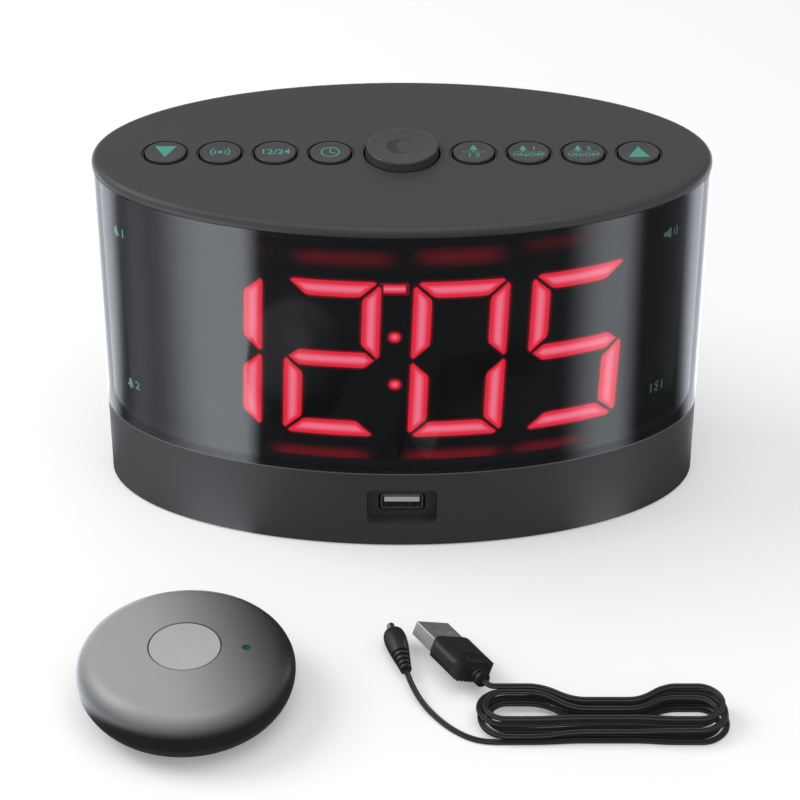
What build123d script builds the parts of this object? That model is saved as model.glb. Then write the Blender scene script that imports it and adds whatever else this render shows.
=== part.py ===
from build123d import *
from math import atan2, cos, degrees, pi, radians, sin, sqrt, tan
import os

# Bed shaker alarm clock: an oval clock head, a round wireless shaker and a charging lead.
# Millimetres. +Z is up, -Y is the side with the window, and the origin is the centre of
# the clock's foot ring on the surface that everything stands on.

# Clock case
half_width = 95.0
half_depth = 45.2
case_height = 117.5
seam_height = 28.3
lid_edge = 3.2
edge_radius = 2.2
seam_chamfer = 0.35
base_edge_radius = 0.4
wall = 2.0
floor_thickness = 2.6
foot_drop = 0.3
parting_line = 3.0
fit_gap = 0.15
running_gap = 0.3
overlap = 1.0
tongue_wall = 1.6
tongue_height = 3.0
tongue_root = 4.0

# Foot ring under the clock
foot_inset = 6.0
foot_width = 3.0
foot_thickness = 1.6

# Case screws and their posts
screw_inset = 17.0
screw_y = 11.2
post_radius = 4.2
screw_head_radius = 2.8
screw_head_height = 2.2
screw_radius = 1.3
screw_length = 14.0
boss_height = 9.0
head_depth = 5.0
post_gap = 3.4
rib_thickness = 1.6
rib_gap = 1.0

# Buttons along the lid, and the stepped holes that they run in
button_row_y = -0.6
first_button_x = 21.9
button_end_margin = 22.7
buttons_each_side = 4
button_radius = 6.25
button_hole_radius = 6.75
button_draft = 0.1
button_proud = 0.5
button_edge = 0.35
button_dish = 0.2
button_travel = 0.8
ring_width = 0.7
ring_depth = 0.6
snooze_radius = 11.3
snooze_hole_radius = 11.9
snooze_draft = 0.5
snooze_proud = 2.7
snooze_edge = 0.5
snooze_dish = 0.3
snooze_travel = 1.0
dish_margin = 0.9
cap_skin = 1.4
roof_thickness = 1.6
flange_extra = 0.9
flange_thickness = 1.0
guide_wall = 0.7
guide_depth = 3.7
stem_radius = 2.0
stem_gap = 0.1
button_names = [
    "down_button", "pairing_button", "hour_format_button", "time_button",
    "alarm_set_button", "alarm_1_button", "alarm_2_button", "up_button",
]

# Key board under the buttons
key_board_depth = 22.0
key_board_drop = 11.3
board_thickness = 1.6
switch_side = 6.0
switch_height = 3.4
plunger_radius = 1.7
plunger_height = 1.2
key_post_radius = 2.6
key_post_rise = 6.6
key_post_end_rise = 1.5
small_screw_radius = 0.9
small_head_radius = 1.8
small_head_height = 1.2
small_screw_length = 6.0
small_screw_gap = 0.5

# Display
panel_inset = 7.3
panel_thickness = 1.8
panel_foot = 2.3
panel_top_gap = 1.8
digit_side_margin = 25.2
digit_gap = 6.9
colon_gap = 4.9
digit_low_margin = 9.2
digit_high_margin = 19.8
stroke = 5.6
segment_gap = 1.7
segment_tip = 2.1
slant = 2.0
colon_x = -2.2
colon_radius = 1.7
colon_rise = 8.75
morning_mark_drop = 2.3
morning_mark_width = 6.6
morning_mark_height = 3.0
light_box_margin = 1.4
light_box_lip = 3.5
light_box_wall = 1.2
light_box_back = -14.0
light_box_floor = 1.0
colon_cell = 3.0
display_board_drop = 4.0
led_side = 3.2
led_height = 1.4

# Socket for the charging lead, in a pocket of the base
pocket_width = 22.0
pocket_low = 8.6
pocket_high = 21.9
pocket_depth = 4.0
pocket_corner = 2.2
pocket_wall = 1.6
port_width = 14.8
port_height = 6.8
port_corner = 1.2
socket_width = 13.2
socket_height = 5.8
socket_depth = 14.0
socket_sheet = 0.35
socket_corner = 0.8
socket_back = 1.2
socket_z = 14.6
socket_setback = 0.3
tongue_width = 11.1
tongue_thickness = 1.8
tongue_low = -0.8
tongue_setback = 0.8
tongue_base = 2.5
contact_width = 1.2
contact_thickness = 0.25
contact_length = 7.0
contact_setback = 1.0
contact_pitch = 2.4

# Main board on the base, and what it carries
main_board_left = -11.5
main_board_right = 58.0
main_board_front_gap = 7.7
main_board_back = 29.0
main_board_edge_gap = 1.0
standoff_radius = 2.6
standoff_inset = 4.5
standoff_step = 24.0
standoff_left_rise = 2.0
standoff_right_rise = 8.0
jack_x = 35.0
jack_z = 16.2
jack_width = 9.0
jack_length = 13.0
jack_bore_radius = 3.1
jack_nose_radius = 4.0
jack_pin_radius = 1.0
jack_pin_setback = 2.0
jack_bore_depth = 9.5
radio_x = 42.0
radio_y = 6.0
radio_width = 20.0
radio_depth = 13.0
radio_board_thickness = 1.0
radio_can_width = 13.0
radio_can_depth = 10.0
radio_can_shift = 2.0
radio_can_height = 2.2
radio_can_corner = 0.8
radio_can_edge = 0.3
aerial_radius = 0.6
aerial_inset = 1.5
aerial_length = 34.0

# Backup cell, its holder and its coin-turned door
cell_x = -34.0
cell_y = 0.0
cell_radius = 10.0
cell_thickness = 3.2
cell_cap_inset = 1.2
cell_cap_height = 0.6
cell_edge = 0.3
cell_gap = 0.2
door_radius = 12.4
door_edge = 0.4
door_lug_reach = 1.7
door_lug_root = 1.5
door_lug_angle = 50.0
door_lug_thickness = 1.2
door_slot_width = 2.2
door_slot_length = 16.0
door_slot_depth = 1.2
collar_wall = 1.6
collar_clearance = 0.5
holder_wall = 1.8
holder_plate = 1.2
contact_sheet = 0.3
contact_strip_length = 15.0
contact_strip_width = 5.0

# Speaker behind the rear cover
speaker_x = -30.0
speaker_rise = 2.7
speaker_radius = 18.0
speaker_wall_gap = 11.7
speaker_rim = 2.4
speaker_rim_width = 1.5
speaker_sheet = 1.1
speaker_depth = 9.0
magnet_radius = 10.5
magnet_depth = 6.0
speaker_collar_wall = 1.5
cone_gap = 1.7
cone_thickness = 0.8
cone_depth = 6.0
cone_setback = 0.4
dust_cap_radius = 6.0
grille_hole_radius = 1.0
grille_rings = 4
grille_pitch = 3.6

# Ribbon cables inside
ribbon_width = 12.0
ribbon_thickness = 0.8
ribbon_plug_height = 5.0
ribbon_plug_depth = 4.0
ribbon_plug_extra = 1.0
key_ribbon_x = 20.0
key_ribbon_y = 6.0
display_ribbon_x = 12.0

# Shaker puck, in its own round frame
puck_x = -63.3
puck_y = -119.0
puck_radius = 32.2
puck_height = 21.5
puck_crown_radius = 200.0
puck_shoulder_radius = 7.5
puck_wall = 2.0
puck_split = 8.5
puck_foot_outer = 17.5
puck_foot_inner = 14.5
puck_button_radius = 10.4
puck_button_gap = 0.45
puck_button_travel = 0.5
puck_button_sink = 0.15
puck_flange_extra = 1.1
puck_flange_drop = 3.8
puck_board_radius = 19.0
puck_board_drop = 7.4
puck_board_thickness = 1.2
puck_switch_height = 1.0
puck_plunger_height = 0.7
puck_lamp_distance = 18.0
puck_lamp_radius = 1.2
puck_lamp_gap = 0.1
puck_lamp_sink = 0.5
puck_post_radius = 2.2
puck_post_distance = 17.4
puck_screw_distance = 20.0
puck_boss_radius = 2.8
puck_boss_rise = 1.0
puck_screw_radius = 1.0
puck_head_radius = 1.9
puck_head_height = 1.4
puck_head_sink = 0.6
puck_head_gap = 0.2
puck_screw_length = 10.0
puck_screw_gap = 0.5
battery_width = 22.0
battery_depth = 14.0
battery_height = 6.0
battery_front = 1.5
battery_corner = 1.5
motor_gap = 0.9
motor_length = 16.0
motor_left = -5.0
motor_y = -8.5
motor_edge = 0.6
motor_nose_radius = 2.2
motor_nose_length = 0.6
shaft_radius = 1.0
shaft_depth = 3.0
shaft_end_gap = 0.2
shaft_clearance = 0.05
shaft_end = 0.8
weight_length = 4.5
weight_top = 1.4
weight_gap = 1.0
bracket_length = 10.0
bracket_wall = 1.4
bracket_rise = 1.5
puck_jack_z = 10.5
puck_jack_width = 6.0
puck_jack_height = 5.0
puck_jack_length = 9.0
puck_jack_gap = 1.4
puck_jack_bore = 1.3
puck_jack_hole_radius = 2.7
puck_jack_pin = 0.35
puck_seat_width = 4.8
puck_seat_length = 4.5
puck_seat_inset = 0.5

# Charging lead: cord, hank and the two plugs
cord_diameter = 1.7
cord_bend_share = 0.45
cord_route = [
    (1.2, -109.1, 3.5), (2.6, -115.2, 3.5), (6.2, -122.2, 1.5), (11.6, -129.4, 0.9),
    (17.4, -134.9, 0.9), (23.4, -137.8, 0.9), (30.3, -137.8, 0.9),
]
hank_x = 58.4
hank_y = -129.4
hank_half_run = 28.1
hank_half_width = 8.4
hank_step = 2.5
hank_loops = 2
hank_layers = 4
hank_layer_rise = 2.2
hank_waist_x = 2.0
hank_front_pull = 0.7
hank_rear_pull = 6.0
hank_stray = 1.0
hank_stray_turn = 2.0
hank_floor_z = 0.9
jack_plug_profile = [
    (0.0, 1.75), (2.5, 2.05), (8.0, 2.9), (13.0, 3.4), (16.3, 3.2), (17.2, 2.8), (17.5, 2.2),
]
jack_plug_grooves = 4
jack_plug_groove_start = 0.9
jack_plug_groove_pitch = 1.8
jack_plug_groove_width = 0.8
jack_plug_groove_depth = 0.5
jack_plug_groove_growth = 0.27
jack_plug_barrel_radius = 1.2
jack_plug_barrel_length = 3.8
jack_plug_barrel_bore = 0.45
jack_plug_bore_depth = 3.0
jack_plug_barrel_edge = 0.3
usb_angle = 120.0
usb_tilt = 4.5
usb_roll = 25.0
usb_end_x = 23.8
usb_end_y = -118.3
usb_body_length = 15.5
usb_body_width = 14.8
usb_body_height = 6.6
usb_body_corner = 2.4
usb_body_plan_corner = 3.2
usb_relief_length = 4.5
usb_relief_seat = 0.07
usb_relief_radius = 2.4
usb_relief_grooves = 2
usb_relief_start = 1.2
usb_relief_pitch = 1.6
usb_relief_groove_width = 0.7
usb_relief_core = 1.5
usb_rib_rings = 3
usb_rib_start = 3.4
usb_rib_pitch = 1.3
usb_rib_width = 0.6
usb_rib_depth = 0.35
usb_shell_width = 12.0
usb_shell_height = 4.5
usb_shell_length = 10.5
usb_shell_sheet = 0.3
usb_shell_edge = 0.35
usb_hole_side = 2.2
usb_hole_spacing = 5.2
usb_hole_place = 0.45
usb_tongue_thickness = 1.8
usb_tongue_setback = 0.4

# Heights and places that several pieces share
lid_low = case_height - lid_edge
floor_top = foot_drop + floor_thickness
boss_top = floor_top + boss_height
guide_low = lid_low - guide_depth
screw_x = half_width - screw_inset
last_button_x = half_width - button_end_margin
button_pitch = (last_button_x - first_button_x) / (buttons_each_side - 1)
key_board_top = lid_low - key_board_drop
key_board_low = key_board_top - board_thickness
post_top = key_board_low - post_gap
plunger_top = key_board_top + switch_height + plunger_height
key_post_x = last_button_x + button_hole_radius + flange_extra + running_gap + key_post_radius
key_post_mid_x = first_button_x + button_pitch / 2
key_post_y = button_row_y + key_post_rise
key_post_end_y = button_row_y + key_post_end_rise
panel_low = seam_height - panel_foot
panel_high = lid_low - panel_top_gap
digit_low = seam_height + digit_low_margin
digit_high = lid_low - digit_high_margin
digit_height = digit_high - digit_low
digit_mid_z = (digit_low + digit_high) / 2
digit_width = (half_width - digit_side_margin - colon_gap - digit_gap) / 2
inner_digit_offset = colon_gap + digit_width / 2
outer_digit_offset = inner_digit_offset + digit_width + digit_gap
morning_mark_z = digit_high - morning_mark_drop
light_box_left = colon_x - outer_digit_offset - digit_width / 2 - light_box_margin
light_box_right = colon_x + outer_digit_offset + digit_width / 2 + light_box_margin
light_box_low = digit_low - light_box_lip
light_box_high = digit_high + light_box_lip
main_board_top = socket_z - socket_height / 2 - 0.1
main_board_low = main_board_top - board_thickness
main_board_front = main_board_front_gap - half_depth
speaker_z = (seam_height + lid_low) / 2 + speaker_rise
speaker_front_y = half_depth - speaker_wall_gap
puck_flange_low = puck_height - puck_flange_drop
puck_board_low = puck_height - puck_board_drop
puck_floor_top = foot_drop + puck_wall
motor_radius = (puck_board_low - puck_floor_top) / 2 - motor_gap
motor_z = (puck_board_low + puck_floor_top) / 2
hank_top_z = hank_floor_z + (hank_layers - 1) * hank_layer_rise
usb_end = (usb_end_x, usb_end_y, hank_top_z)
jack_plug_angle = degrees(atan2(cord_route[0][1] - cord_route[1][1],
                                cord_route[0][0] - cord_route[1][0]))


def oval(inset, low, high):
    """A solid with the clock's oval outline, drawn in by inset."""
    outline = Ellipse(half_width - inset, half_depth - inset)
    return Pos(0, 0, low) * extrude(outline, high - low)


def oval_ring(outer_inset, inner_inset, low, high):
    return oval(outer_inset, low, high) - oval(inner_inset, low, high)


def oval_y(x, inset=0.0):
    """How far the oval, drawn in by inset, stands from the X axis at x."""
    return (half_depth - inset) * sqrt(1 - (x / (half_width - inset)) ** 2)


def post(x, y, radius, low, high):
    return Pos(x, y, low) * extrude(Circle(radius), high - low)


def block(x0, x1, y0, y1, z0, z1):
    return Pos((x0 + x1) / 2, (y0 + y1) / 2, (z0 + z1) / 2) * Box(x1 - x0, y1 - y0, z1 - z0)


def bar_y(x, z, radius, y0, y1):
    """A round bar along Y."""
    return Pos(x, (y0 + y1) / 2, z) * Rot(90, 0, 0) * Cylinder(radius, abs(y1 - y0))


def bar_x(y, z, radius, x0, x1):
    """A round bar along X."""
    return Pos((x0 + x1) / 2, y, z) * Rot(0, 90, 0) * Cylinder(radius, abs(x1 - x0))


def front_profile(width, low, high, corner, y0, y1):
    """A rounded rectangle in the front view, cut through from y0 to y1."""
    outline = RectangleRounded(width, high - low, corner)
    plane = Plane((0, y1, (low + high) / 2), x_dir=(1, 0, 0), z_dir=(0, -1, 0))
    return extrude(plane * outline, y1 - y0)


def screw(x, y, head_low, radius, length, head_radius, head_height):
    """A pan-head screw driven upwards, with a cross in its head."""
    body = post(x, y, head_radius, head_low, head_low + head_height)
    body += post(x, y, radius, head_low + head_height, head_low + head_height + length)
    arm = head_radius * 1.2
    slot = head_radius * 0.25
    for turn in (0, 90):
        body -= Pos(x, y, head_low) * Rot(0, 0, turn) * Box(arm, slot, head_height)
    return body


def mirrored(points):
    return [(side * x, y) for x, y in points for side in (-1, 1)]


def top_rim(shape):
    """The highest round edge of a shape."""
    return shape.edges().filter_by(GeomType.CIRCLE).sort_by(Axis.Z)[-1]


screw_places = mirrored([(screw_x, -screw_y), (screw_x, screw_y)])
key_post_places = mirrored([(key_post_x, key_post_end_y), (key_post_mid_x, key_post_y)])
right_button_xs = [first_button_x + button_pitch * k for k in range(buttons_each_side)]
button_xs = [-x for x in right_button_xs[::-1]] + right_button_xs


# Case

def lid():
    shell = oval(0, lid_low, case_height)
    shell = fillet(shell.edges().filter_by(GeomType.ELLIPSE).sort_by(Axis.Z)[-1], edge_radius)
    shell = chamfer(shell.edges().filter_by(GeomType.ELLIPSE).sort_by(Axis.Z)[0], seam_chamfer)
    tongue_out = wall + fit_gap
    shell += oval_ring(tongue_out, tongue_out + tongue_wall, lid_low - tongue_height,
                       lid_low + overlap)
    holes = [(x, button_hole_radius) for x in button_xs] + [(0, snooze_hole_radius)]
    for x, radius in holes:
        shell += post(x, button_row_y, radius + guide_wall, guide_low, lid_low)
    for x, radius in holes:
        shell -= post(x, button_row_y, radius, guide_low - overlap, case_height + overlap)
    for x in button_xs:
        shell -= post(x, button_row_y, button_hole_radius + ring_width, case_height - ring_depth,
                      case_height + overlap)
    for x, y in key_post_places:
        shell += post(x, y, key_post_radius, key_board_top, lid_low)
        shell -= post(x, y, small_screw_radius, key_board_top, key_board_top + small_screw_length)
    return shell


def window():
    shell = oval_ring(0, wall, seam_height, lid_low)
    return shell & block(-half_width, half_width, -half_depth, parting_line, seam_height, lid_low)


def speaker_grille():
    """Centres of the grille's holes, in rings round the middle one."""
    places = [(speaker_x, speaker_z)]
    for ring in range(1, grille_rings + 1):
        for k in range(6 * ring):
            turn = 2 * pi * k / (6 * ring)
            reach = ring * grille_pitch
            places.append((speaker_x + reach * cos(turn), speaker_z + reach * sin(turn)))
    return places


def rear_cover():
    back = block(-half_width, half_width, parting_line, half_depth, 0, case_height)
    shell = oval_ring(0, wall, seam_height, lid_low) & back
    within = oval(wall / 2, 0, case_height)
    collar = bar_y(speaker_x, speaker_z, speaker_radius + fit_gap + speaker_collar_wall,
                   speaker_front_y - speaker_rim, half_depth)
    shell += collar & within
    for x in (-screw_x, screw_x):
        shell += post(x, screw_y, post_radius, boss_top, post_top)
        rib = block(x - rib_thickness / 2, x + rib_thickness / 2, screw_y, oval_y(x, wall / 2),
                    seam_height + tongue_height + rib_gap, post_top)
        shell += rib
        shell -= post(x, screw_y, screw_radius, boss_top - overlap, boss_top + screw_length)
    shell -= bar_y(speaker_x, speaker_z, speaker_radius + fit_gap,
                   speaker_front_y - speaker_rim - overlap, speaker_front_y)
    clear_radius = speaker_radius - speaker_rim
    shell -= bar_y(speaker_x, speaker_z, clear_radius, 0, half_depth) & oval(wall, 0, case_height)
    for x, z in speaker_grille():
        shell -= bar_y(x, z, grille_hole_radius, speaker_front_y, half_depth + overlap)
    return shell


def base():
    shell = oval(0, foot_drop, seam_height)
    rims = shell.edges().filter_by(GeomType.ELLIPSE).sort_by(Axis.Z)
    shell = fillet(rims[0], base_edge_radius)
    rims = shell.edges().filter_by(GeomType.ELLIPSE).sort_by(Axis.Z)
    shell = chamfer(rims[-1], seam_chamfer)
    shell -= oval(wall, floor_top, seam_height + overlap)
    tongue_out = wall + fit_gap
    tongue_in = tongue_out + tongue_wall
    shell += oval_ring(wall / 2, tongue_in, seam_height - tongue_root, seam_height)
    shell += oval_ring(tongue_out, tongue_in, seam_height, seam_height + tongue_height)
    shell -= oval_ring(foot_inset - fit_gap, foot_inset + foot_width + fit_gap, 0,
                       foot_thickness)
    shell = shell + socket_pocket()
    shell -= front_profile(pocket_width, pocket_low, pocket_high, pocket_corner,
                           -half_depth - overlap, pocket_depth - half_depth)
    shell -= front_profile(port_width, socket_z - port_height / 2, socket_z + port_height / 2,
                           port_corner, -half_depth,
                           pocket_depth + pocket_wall + overlap - half_depth)
    for x, y in screw_places:
        shell += post(x, y, post_radius, floor_top, boss_top)
        shell -= post(x, y, screw_head_radius + running_gap, 0, foot_drop + head_depth)
        shell -= post(x, y, screw_radius, 0, boss_top + overlap)
    for x, y in standoffs():
        shell += post(x, y, standoff_radius, floor_top - overlap, main_board_low)
        shell -= post(x, y, small_screw_radius, floor_top, main_board_low)
    shell = with_cell_well(shell)
    return shell - bar_y(jack_x, jack_z, jack_nose_radius + fit_gap, jack_face() - overlap,
                         half_depth)


def with_cell_well(shell):
    """Adds the round well of the backup cell, open below for its door."""
    collar_in = door_radius + door_lug_reach + collar_clearance
    shell += post(cell_x, cell_y, collar_in + collar_wall, floor_top - overlap, cell_top())
    shell -= post(cell_x, cell_y, collar_in, floor_top, cell_top() + overlap)
    shell -= post(cell_x, cell_y, door_radius + running_gap, 0, floor_top + overlap)
    for turn in (0, 180):
        shell -= door_lug(turn, running_gap, 0, floor_top + overlap)
    return shell


def socket_pocket():
    """The box behind the base's front wall that the socket looks out of."""
    back = pocket_depth + pocket_wall - half_depth
    box = front_profile(pocket_width + 2 * pocket_wall, pocket_low - pocket_wall,
                        pocket_high + pocket_wall, pocket_corner, -half_depth, back)
    return box & oval(wall / 2, floor_top - overlap, seam_height)


def standoffs():
    left = main_board_left + standoff_inset
    right = main_board_right - standoff_inset
    front = main_board_front + standoff_inset
    back = main_board_back - standoff_inset
    return [(right, front + standoff_right_rise), (left, back), (right, back),
            (left + standoff_step, front + standoff_left_rise)]


def foot_ring():
    return oval_ring(foot_inset, foot_inset + foot_width, 0, foot_thickness)


def case_screws():
    head_low = foot_drop + head_depth - screw_head_height
    return Compound([screw(x, y, head_low, screw_radius, screw_length, screw_head_radius,
                           screw_head_height).solid() for x, y in screw_places])


# Backup cell

def cell_low():
    return floor_top + running_gap + door_lug_thickness + running_gap


def cell_top():
    return cell_low() + cell_thickness + contact_sheet


def door_lug(turn, grow, low, high):
    """One bayonet lug, or with grow the notch that lets it through the floor."""
    reach = door_radius + door_lug_reach + grow
    half = door_lug_angle / 2 + degrees(grow / door_radius)
    ring = Circle(reach) - Circle(door_radius - door_lug_root)
    wedge = make_face(Polyline((0, 0), (2 * reach, -2 * reach * tan(radians(half))),
                               (2 * reach, 2 * reach * tan(radians(half))), close=True))
    lug = extrude(ring & wedge, high - low)
    return Pos(cell_x, cell_y, low) * Rot(0, 0, turn) * lug


def battery_door():
    top = floor_top + running_gap
    cap = post(cell_x, cell_y, door_radius, foot_drop, top)
    cap = chamfer(cap.edges().filter_by(GeomType.CIRCLE).sort_by(Axis.Z)[0], door_edge)
    for turn in (90, 270):
        cap += door_lug(turn, 0, top, top + door_lug_thickness)
    return cap - Pos(cell_x, cell_y, foot_drop) * Box(door_slot_length, door_slot_width,
                                                      2 * door_slot_depth)


def coin_cell():
    low = cell_low()
    can = post(cell_x, cell_y, cell_radius, low + cell_cap_height, low + cell_thickness)
    can += post(cell_x, cell_y, cell_radius - cell_cap_inset, low, low + cell_cap_height)
    return fillet(top_rim(can), cell_edge)


def cell_holder():
    top = cell_top()
    inside = cell_radius + cell_gap
    collar_out = door_radius + door_lug_reach + collar_clearance + collar_wall
    body = post(cell_x, cell_y, collar_out, top, top + holder_plate)
    body += post(cell_x, cell_y, inside + holder_wall, cell_low(), top)
    return body - post(cell_x, cell_y, inside, cell_low() - overlap, top)


def cell_contact():
    """Spring strip between the cell and the roof of its holder."""
    return Pos(cell_x, cell_y, cell_top() - contact_sheet / 2) * Box(
        contact_strip_length, contact_strip_width, contact_sheet)


# Buttons and their board

def round_button(x, radius, draft, hole_radius, proud, edge, travel, dish):
    """A hollow cap with a flange that holds it under the lid and a stem for its switch."""
    top = case_height + proud
    flange_high = guide_low - running_gap
    flange_low = flange_high - flange_thickness
    cap = post(x, button_row_y, radius, flange_low, case_height)
    cap += Pos(x, button_row_y, case_height + proud / 2) * Cone(radius, radius - draft, proud)
    cap = fillet(top_rim(cap), edge)
    cap += post(x, button_row_y, hole_radius + flange_extra, flange_low, flange_high)
    cap -= post(x, button_row_y, radius - cap_skin, flange_low - overlap, top - roof_thickness)
    cap += post(x, button_row_y, stem_radius, plunger_top + travel + stem_gap,
                top - roof_thickness / 2)
    dish_radius = radius - draft - dish_margin
    sphere_radius = (dish_radius ** 2 + dish ** 2) / (2 * dish)
    return cap - Pos(x, button_row_y, top + sphere_radius - dish) * Sphere(sphere_radius)


def lid_button(x):
    return round_button(x, button_radius, button_draft, button_hole_radius, button_proud,
                        button_edge, button_travel, button_dish)


def snooze_button():
    return round_button(0, snooze_radius, snooze_draft, snooze_hole_radius, snooze_proud,
                        snooze_edge, snooze_travel, snooze_dish)


def key_board():
    board = oval(panel_inset + panel_thickness + running_gap, key_board_low, key_board_top)
    board &= block(-half_width, half_width, button_row_y - key_board_depth / 2,
                   button_row_y + key_board_depth / 2, key_board_low, key_board_top)
    for x, y in key_post_places:
        board -= post(x, y, small_screw_radius, key_board_low, key_board_top)
    return board


def key_switches():
    switches = []
    for x in button_xs + [0]:
        body = Pos(x, button_row_y, key_board_top + switch_height / 2) * Box(
            switch_side, switch_side, switch_height)
        body += post(x, button_row_y, plunger_radius, key_board_top + switch_height, plunger_top)
        switches.append(body.solid())
    return Compound(switches)


# Display

def panel_band():
    """The panel's curved sheet, which runs parallel to the window."""
    band = oval_ring(panel_inset, panel_inset + panel_thickness, panel_low, panel_high)
    return band & block(-half_width, half_width, -half_depth, 0, panel_low, panel_high)


def segment_outline(x, y, turn, length, tip):
    """Corners of one segment with mitred ends; tip moves its points towards its outer side."""
    half = stroke / 2
    end = length / 2
    corners = [(-end, tip), (-end + half - tip, half), (end - half + tip, half), (end, tip),
               (end - half - tip, -half), (-end + half + tip, -half)]
    c, s = cos(radians(turn)), sin(radians(turn))
    lean = tan(radians(slant))
    turned = [(x + u * c - v * s, y + u * s + v * c) for u, v in corners]
    return [(u + v * lean, v) for u, v in turned]


def digit_segments(names):
    """The outlines of a digit's segments named in names, about the digit's middle."""
    across = (digit_width - stroke) / 2
    up = (digit_height - stroke) / 2
    mid = (up + segment_tip) / 2
    flat = 2 * (across + segment_tip) - segment_gap
    tall = up + segment_tip - segment_gap
    places = {
        "a": (0, up, 0, flat, segment_tip), "g": (0, 0, 0, flat, 0),
        "d": (0, -up, 180, flat, segment_tip), "f": (-across, mid, 90, tall, segment_tip),
        "b": (across, mid, -90, tall, segment_tip), "e": (-across, -mid, 90, tall, segment_tip),
        "c": (across, -mid, -90, tall, segment_tip),
    }
    return [segment_outline(*places[name]) for name in names]


def digits():
    """Each digit's place along X and the segments that show the time 12:05."""
    return [
        (colon_x - outer_digit_offset, "bc"), (colon_x - inner_digit_offset, "abged"),
        (colon_x + inner_digit_offset, "abcdef"), (colon_x + outer_digit_offset, "afgcd"),
    ]


def segment_bars(names_of):
    """Bars along Y in the shape of each segment that names_of picks for a digit."""
    bars = []
    for x, lit in digits():
        front = Plane((x, 0, digit_mid_z), x_dir=(1, 0, 0), z_dir=(0, -1, 0))
        for corners in digit_segments(names_of(lit)):
            bars.append(extrude(front * make_face(Polyline(*corners, close=True)), half_depth))
    return bars


def lit_bars():
    bars = segment_bars(lambda lit: lit)
    for z in (digit_mid_z + colon_rise, digit_mid_z - colon_rise):
        bars.append(bar_y(colon_x, z, colon_radius, -half_depth, 0))
    half = morning_mark_width / 2
    bars.append(block(colon_x - half, colon_x + half, -half_depth, 0,
                      morning_mark_z - morning_mark_height / 2,
                      morning_mark_z + morning_mark_height / 2))
    return bars


def dark_bars():
    return segment_bars(lambda lit: "".join(name for name in "abcdefg" if name not in lit))


def display_panel():
    panel = panel_band()
    for bar in lit_bars() + dark_bars():
        panel -= bar
    within = oval(panel_inset + panel_thickness / 2, 0, case_height)
    for x in (-screw_x, screw_x):
        panel += post(x, -screw_y, post_radius, boss_top, post_top) & within
        panel -= post(x, -screw_y, screw_radius, boss_top - overlap, boss_top + screw_length)
    return panel


def lit_segments():
    band = panel_band()
    return Compound([(band & bar).solid() for bar in lit_bars()])


def unlit_segments():
    band = panel_band()
    return Compound([(band & bar).solid() for bar in dark_bars()])


def light_box():
    """Frame behind the panel, with one cell for each digit and one for the colon."""
    front = oval(panel_inset + panel_thickness, light_box_low, light_box_high)
    box = front & block(light_box_left, light_box_right, -half_depth, light_box_back,
                        light_box_low, light_box_high)
    between = inner_digit_offset + (digit_width + digit_gap) / 2
    edges = [light_box_left + light_box_wall / 2, colon_x - between, colon_x - colon_cell,
             colon_x + colon_cell, colon_x + between, light_box_right - light_box_wall / 2]
    for left, right in zip(edges, edges[1:]):
        box -= block(left + light_box_wall / 2, right - light_box_wall / 2, -half_depth,
                     light_box_back + light_box_floor, light_box_low + light_box_wall,
                     light_box_high - light_box_wall)
    return box


def display_board():
    return block(light_box_left, light_box_right, light_box_back,
                 light_box_back + board_thickness, light_box_low - display_board_drop,
                 light_box_high)


def display_leds():
    """One light source for each lit segment, on the front of the display board."""
    chips = []
    for x, lit in digits():
        for corners in digit_segments(lit):
            chips.append((x + sum(u for u, v in corners) / len(corners),
                          digit_mid_z + sum(v for u, v in corners) / len(corners)))
    chips += [(colon_x, digit_mid_z + colon_rise), (colon_x, digit_mid_z - colon_rise),
              (colon_x, morning_mark_z)]
    half = led_side / 2
    return Compound([block(x - half, x + half, light_box_back - led_height, light_box_back,
                           z - half, z + half).solid() for x, z in chips])


# Main board and what it carries

def main_board():
    board = block(main_board_left, main_board_right, main_board_front, main_board_back,
                  main_board_low, main_board_top)
    board &= oval(wall + main_board_edge_gap, main_board_low, main_board_top)
    for x, y in standoffs():
        board -= post(x, y, small_screw_radius, main_board_low, main_board_top)
    return board


def board_screws():
    """Screws that hold the key board to the lid and the main board to its standoffs."""
    head_low = key_board_low - small_head_height
    length = board_thickness + small_screw_length - small_screw_gap
    screws = [screw(x, y, head_low, small_screw_radius, length, small_head_radius,
                    small_head_height).solid() for x, y in key_post_places]
    length = main_board_top - floor_top - small_screw_gap
    for x, y in standoffs():
        body = screw(0, 0, 0, small_screw_radius, length, small_head_radius, small_head_height)
        body = Pos(x, y, main_board_top + small_head_height) * Rot(180, 0, 0) * body
        screws.append(body.solid())
    return Compound(screws)


def socket_front():
    return pocket_depth - half_depth + socket_setback


def usb_socket_shell():
    y0 = socket_front()
    low = socket_z - socket_height / 2
    tube = front_profile(socket_width, low, low + socket_height, socket_corner, y0,
                         y0 + socket_depth)
    return tube - socket_hollow(y0 - overlap, y0 + socket_depth - socket_back)


def socket_hollow(y0, y1):
    """The space inside the socket's sheet-metal shell."""
    low = socket_z - socket_height / 2 + socket_sheet
    high = socket_z + socket_height / 2 - socket_sheet
    return front_profile(socket_width - 2 * socket_sheet, low, high, socket_corner - socket_sheet,
                         y0, y1)


def usb_socket_tongue():
    y0 = socket_front() + tongue_setback
    y1 = socket_front() + socket_depth - socket_back
    low = socket_z + tongue_low
    body = block(-tongue_width / 2, tongue_width / 2, y0, y1, low, low + tongue_thickness)
    body += block(-socket_width / 2, socket_width / 2, y1 - tongue_base, y1,
                  socket_z - socket_height / 2, socket_z + socket_height / 2)
    return body & socket_hollow(y0, y1)


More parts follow.
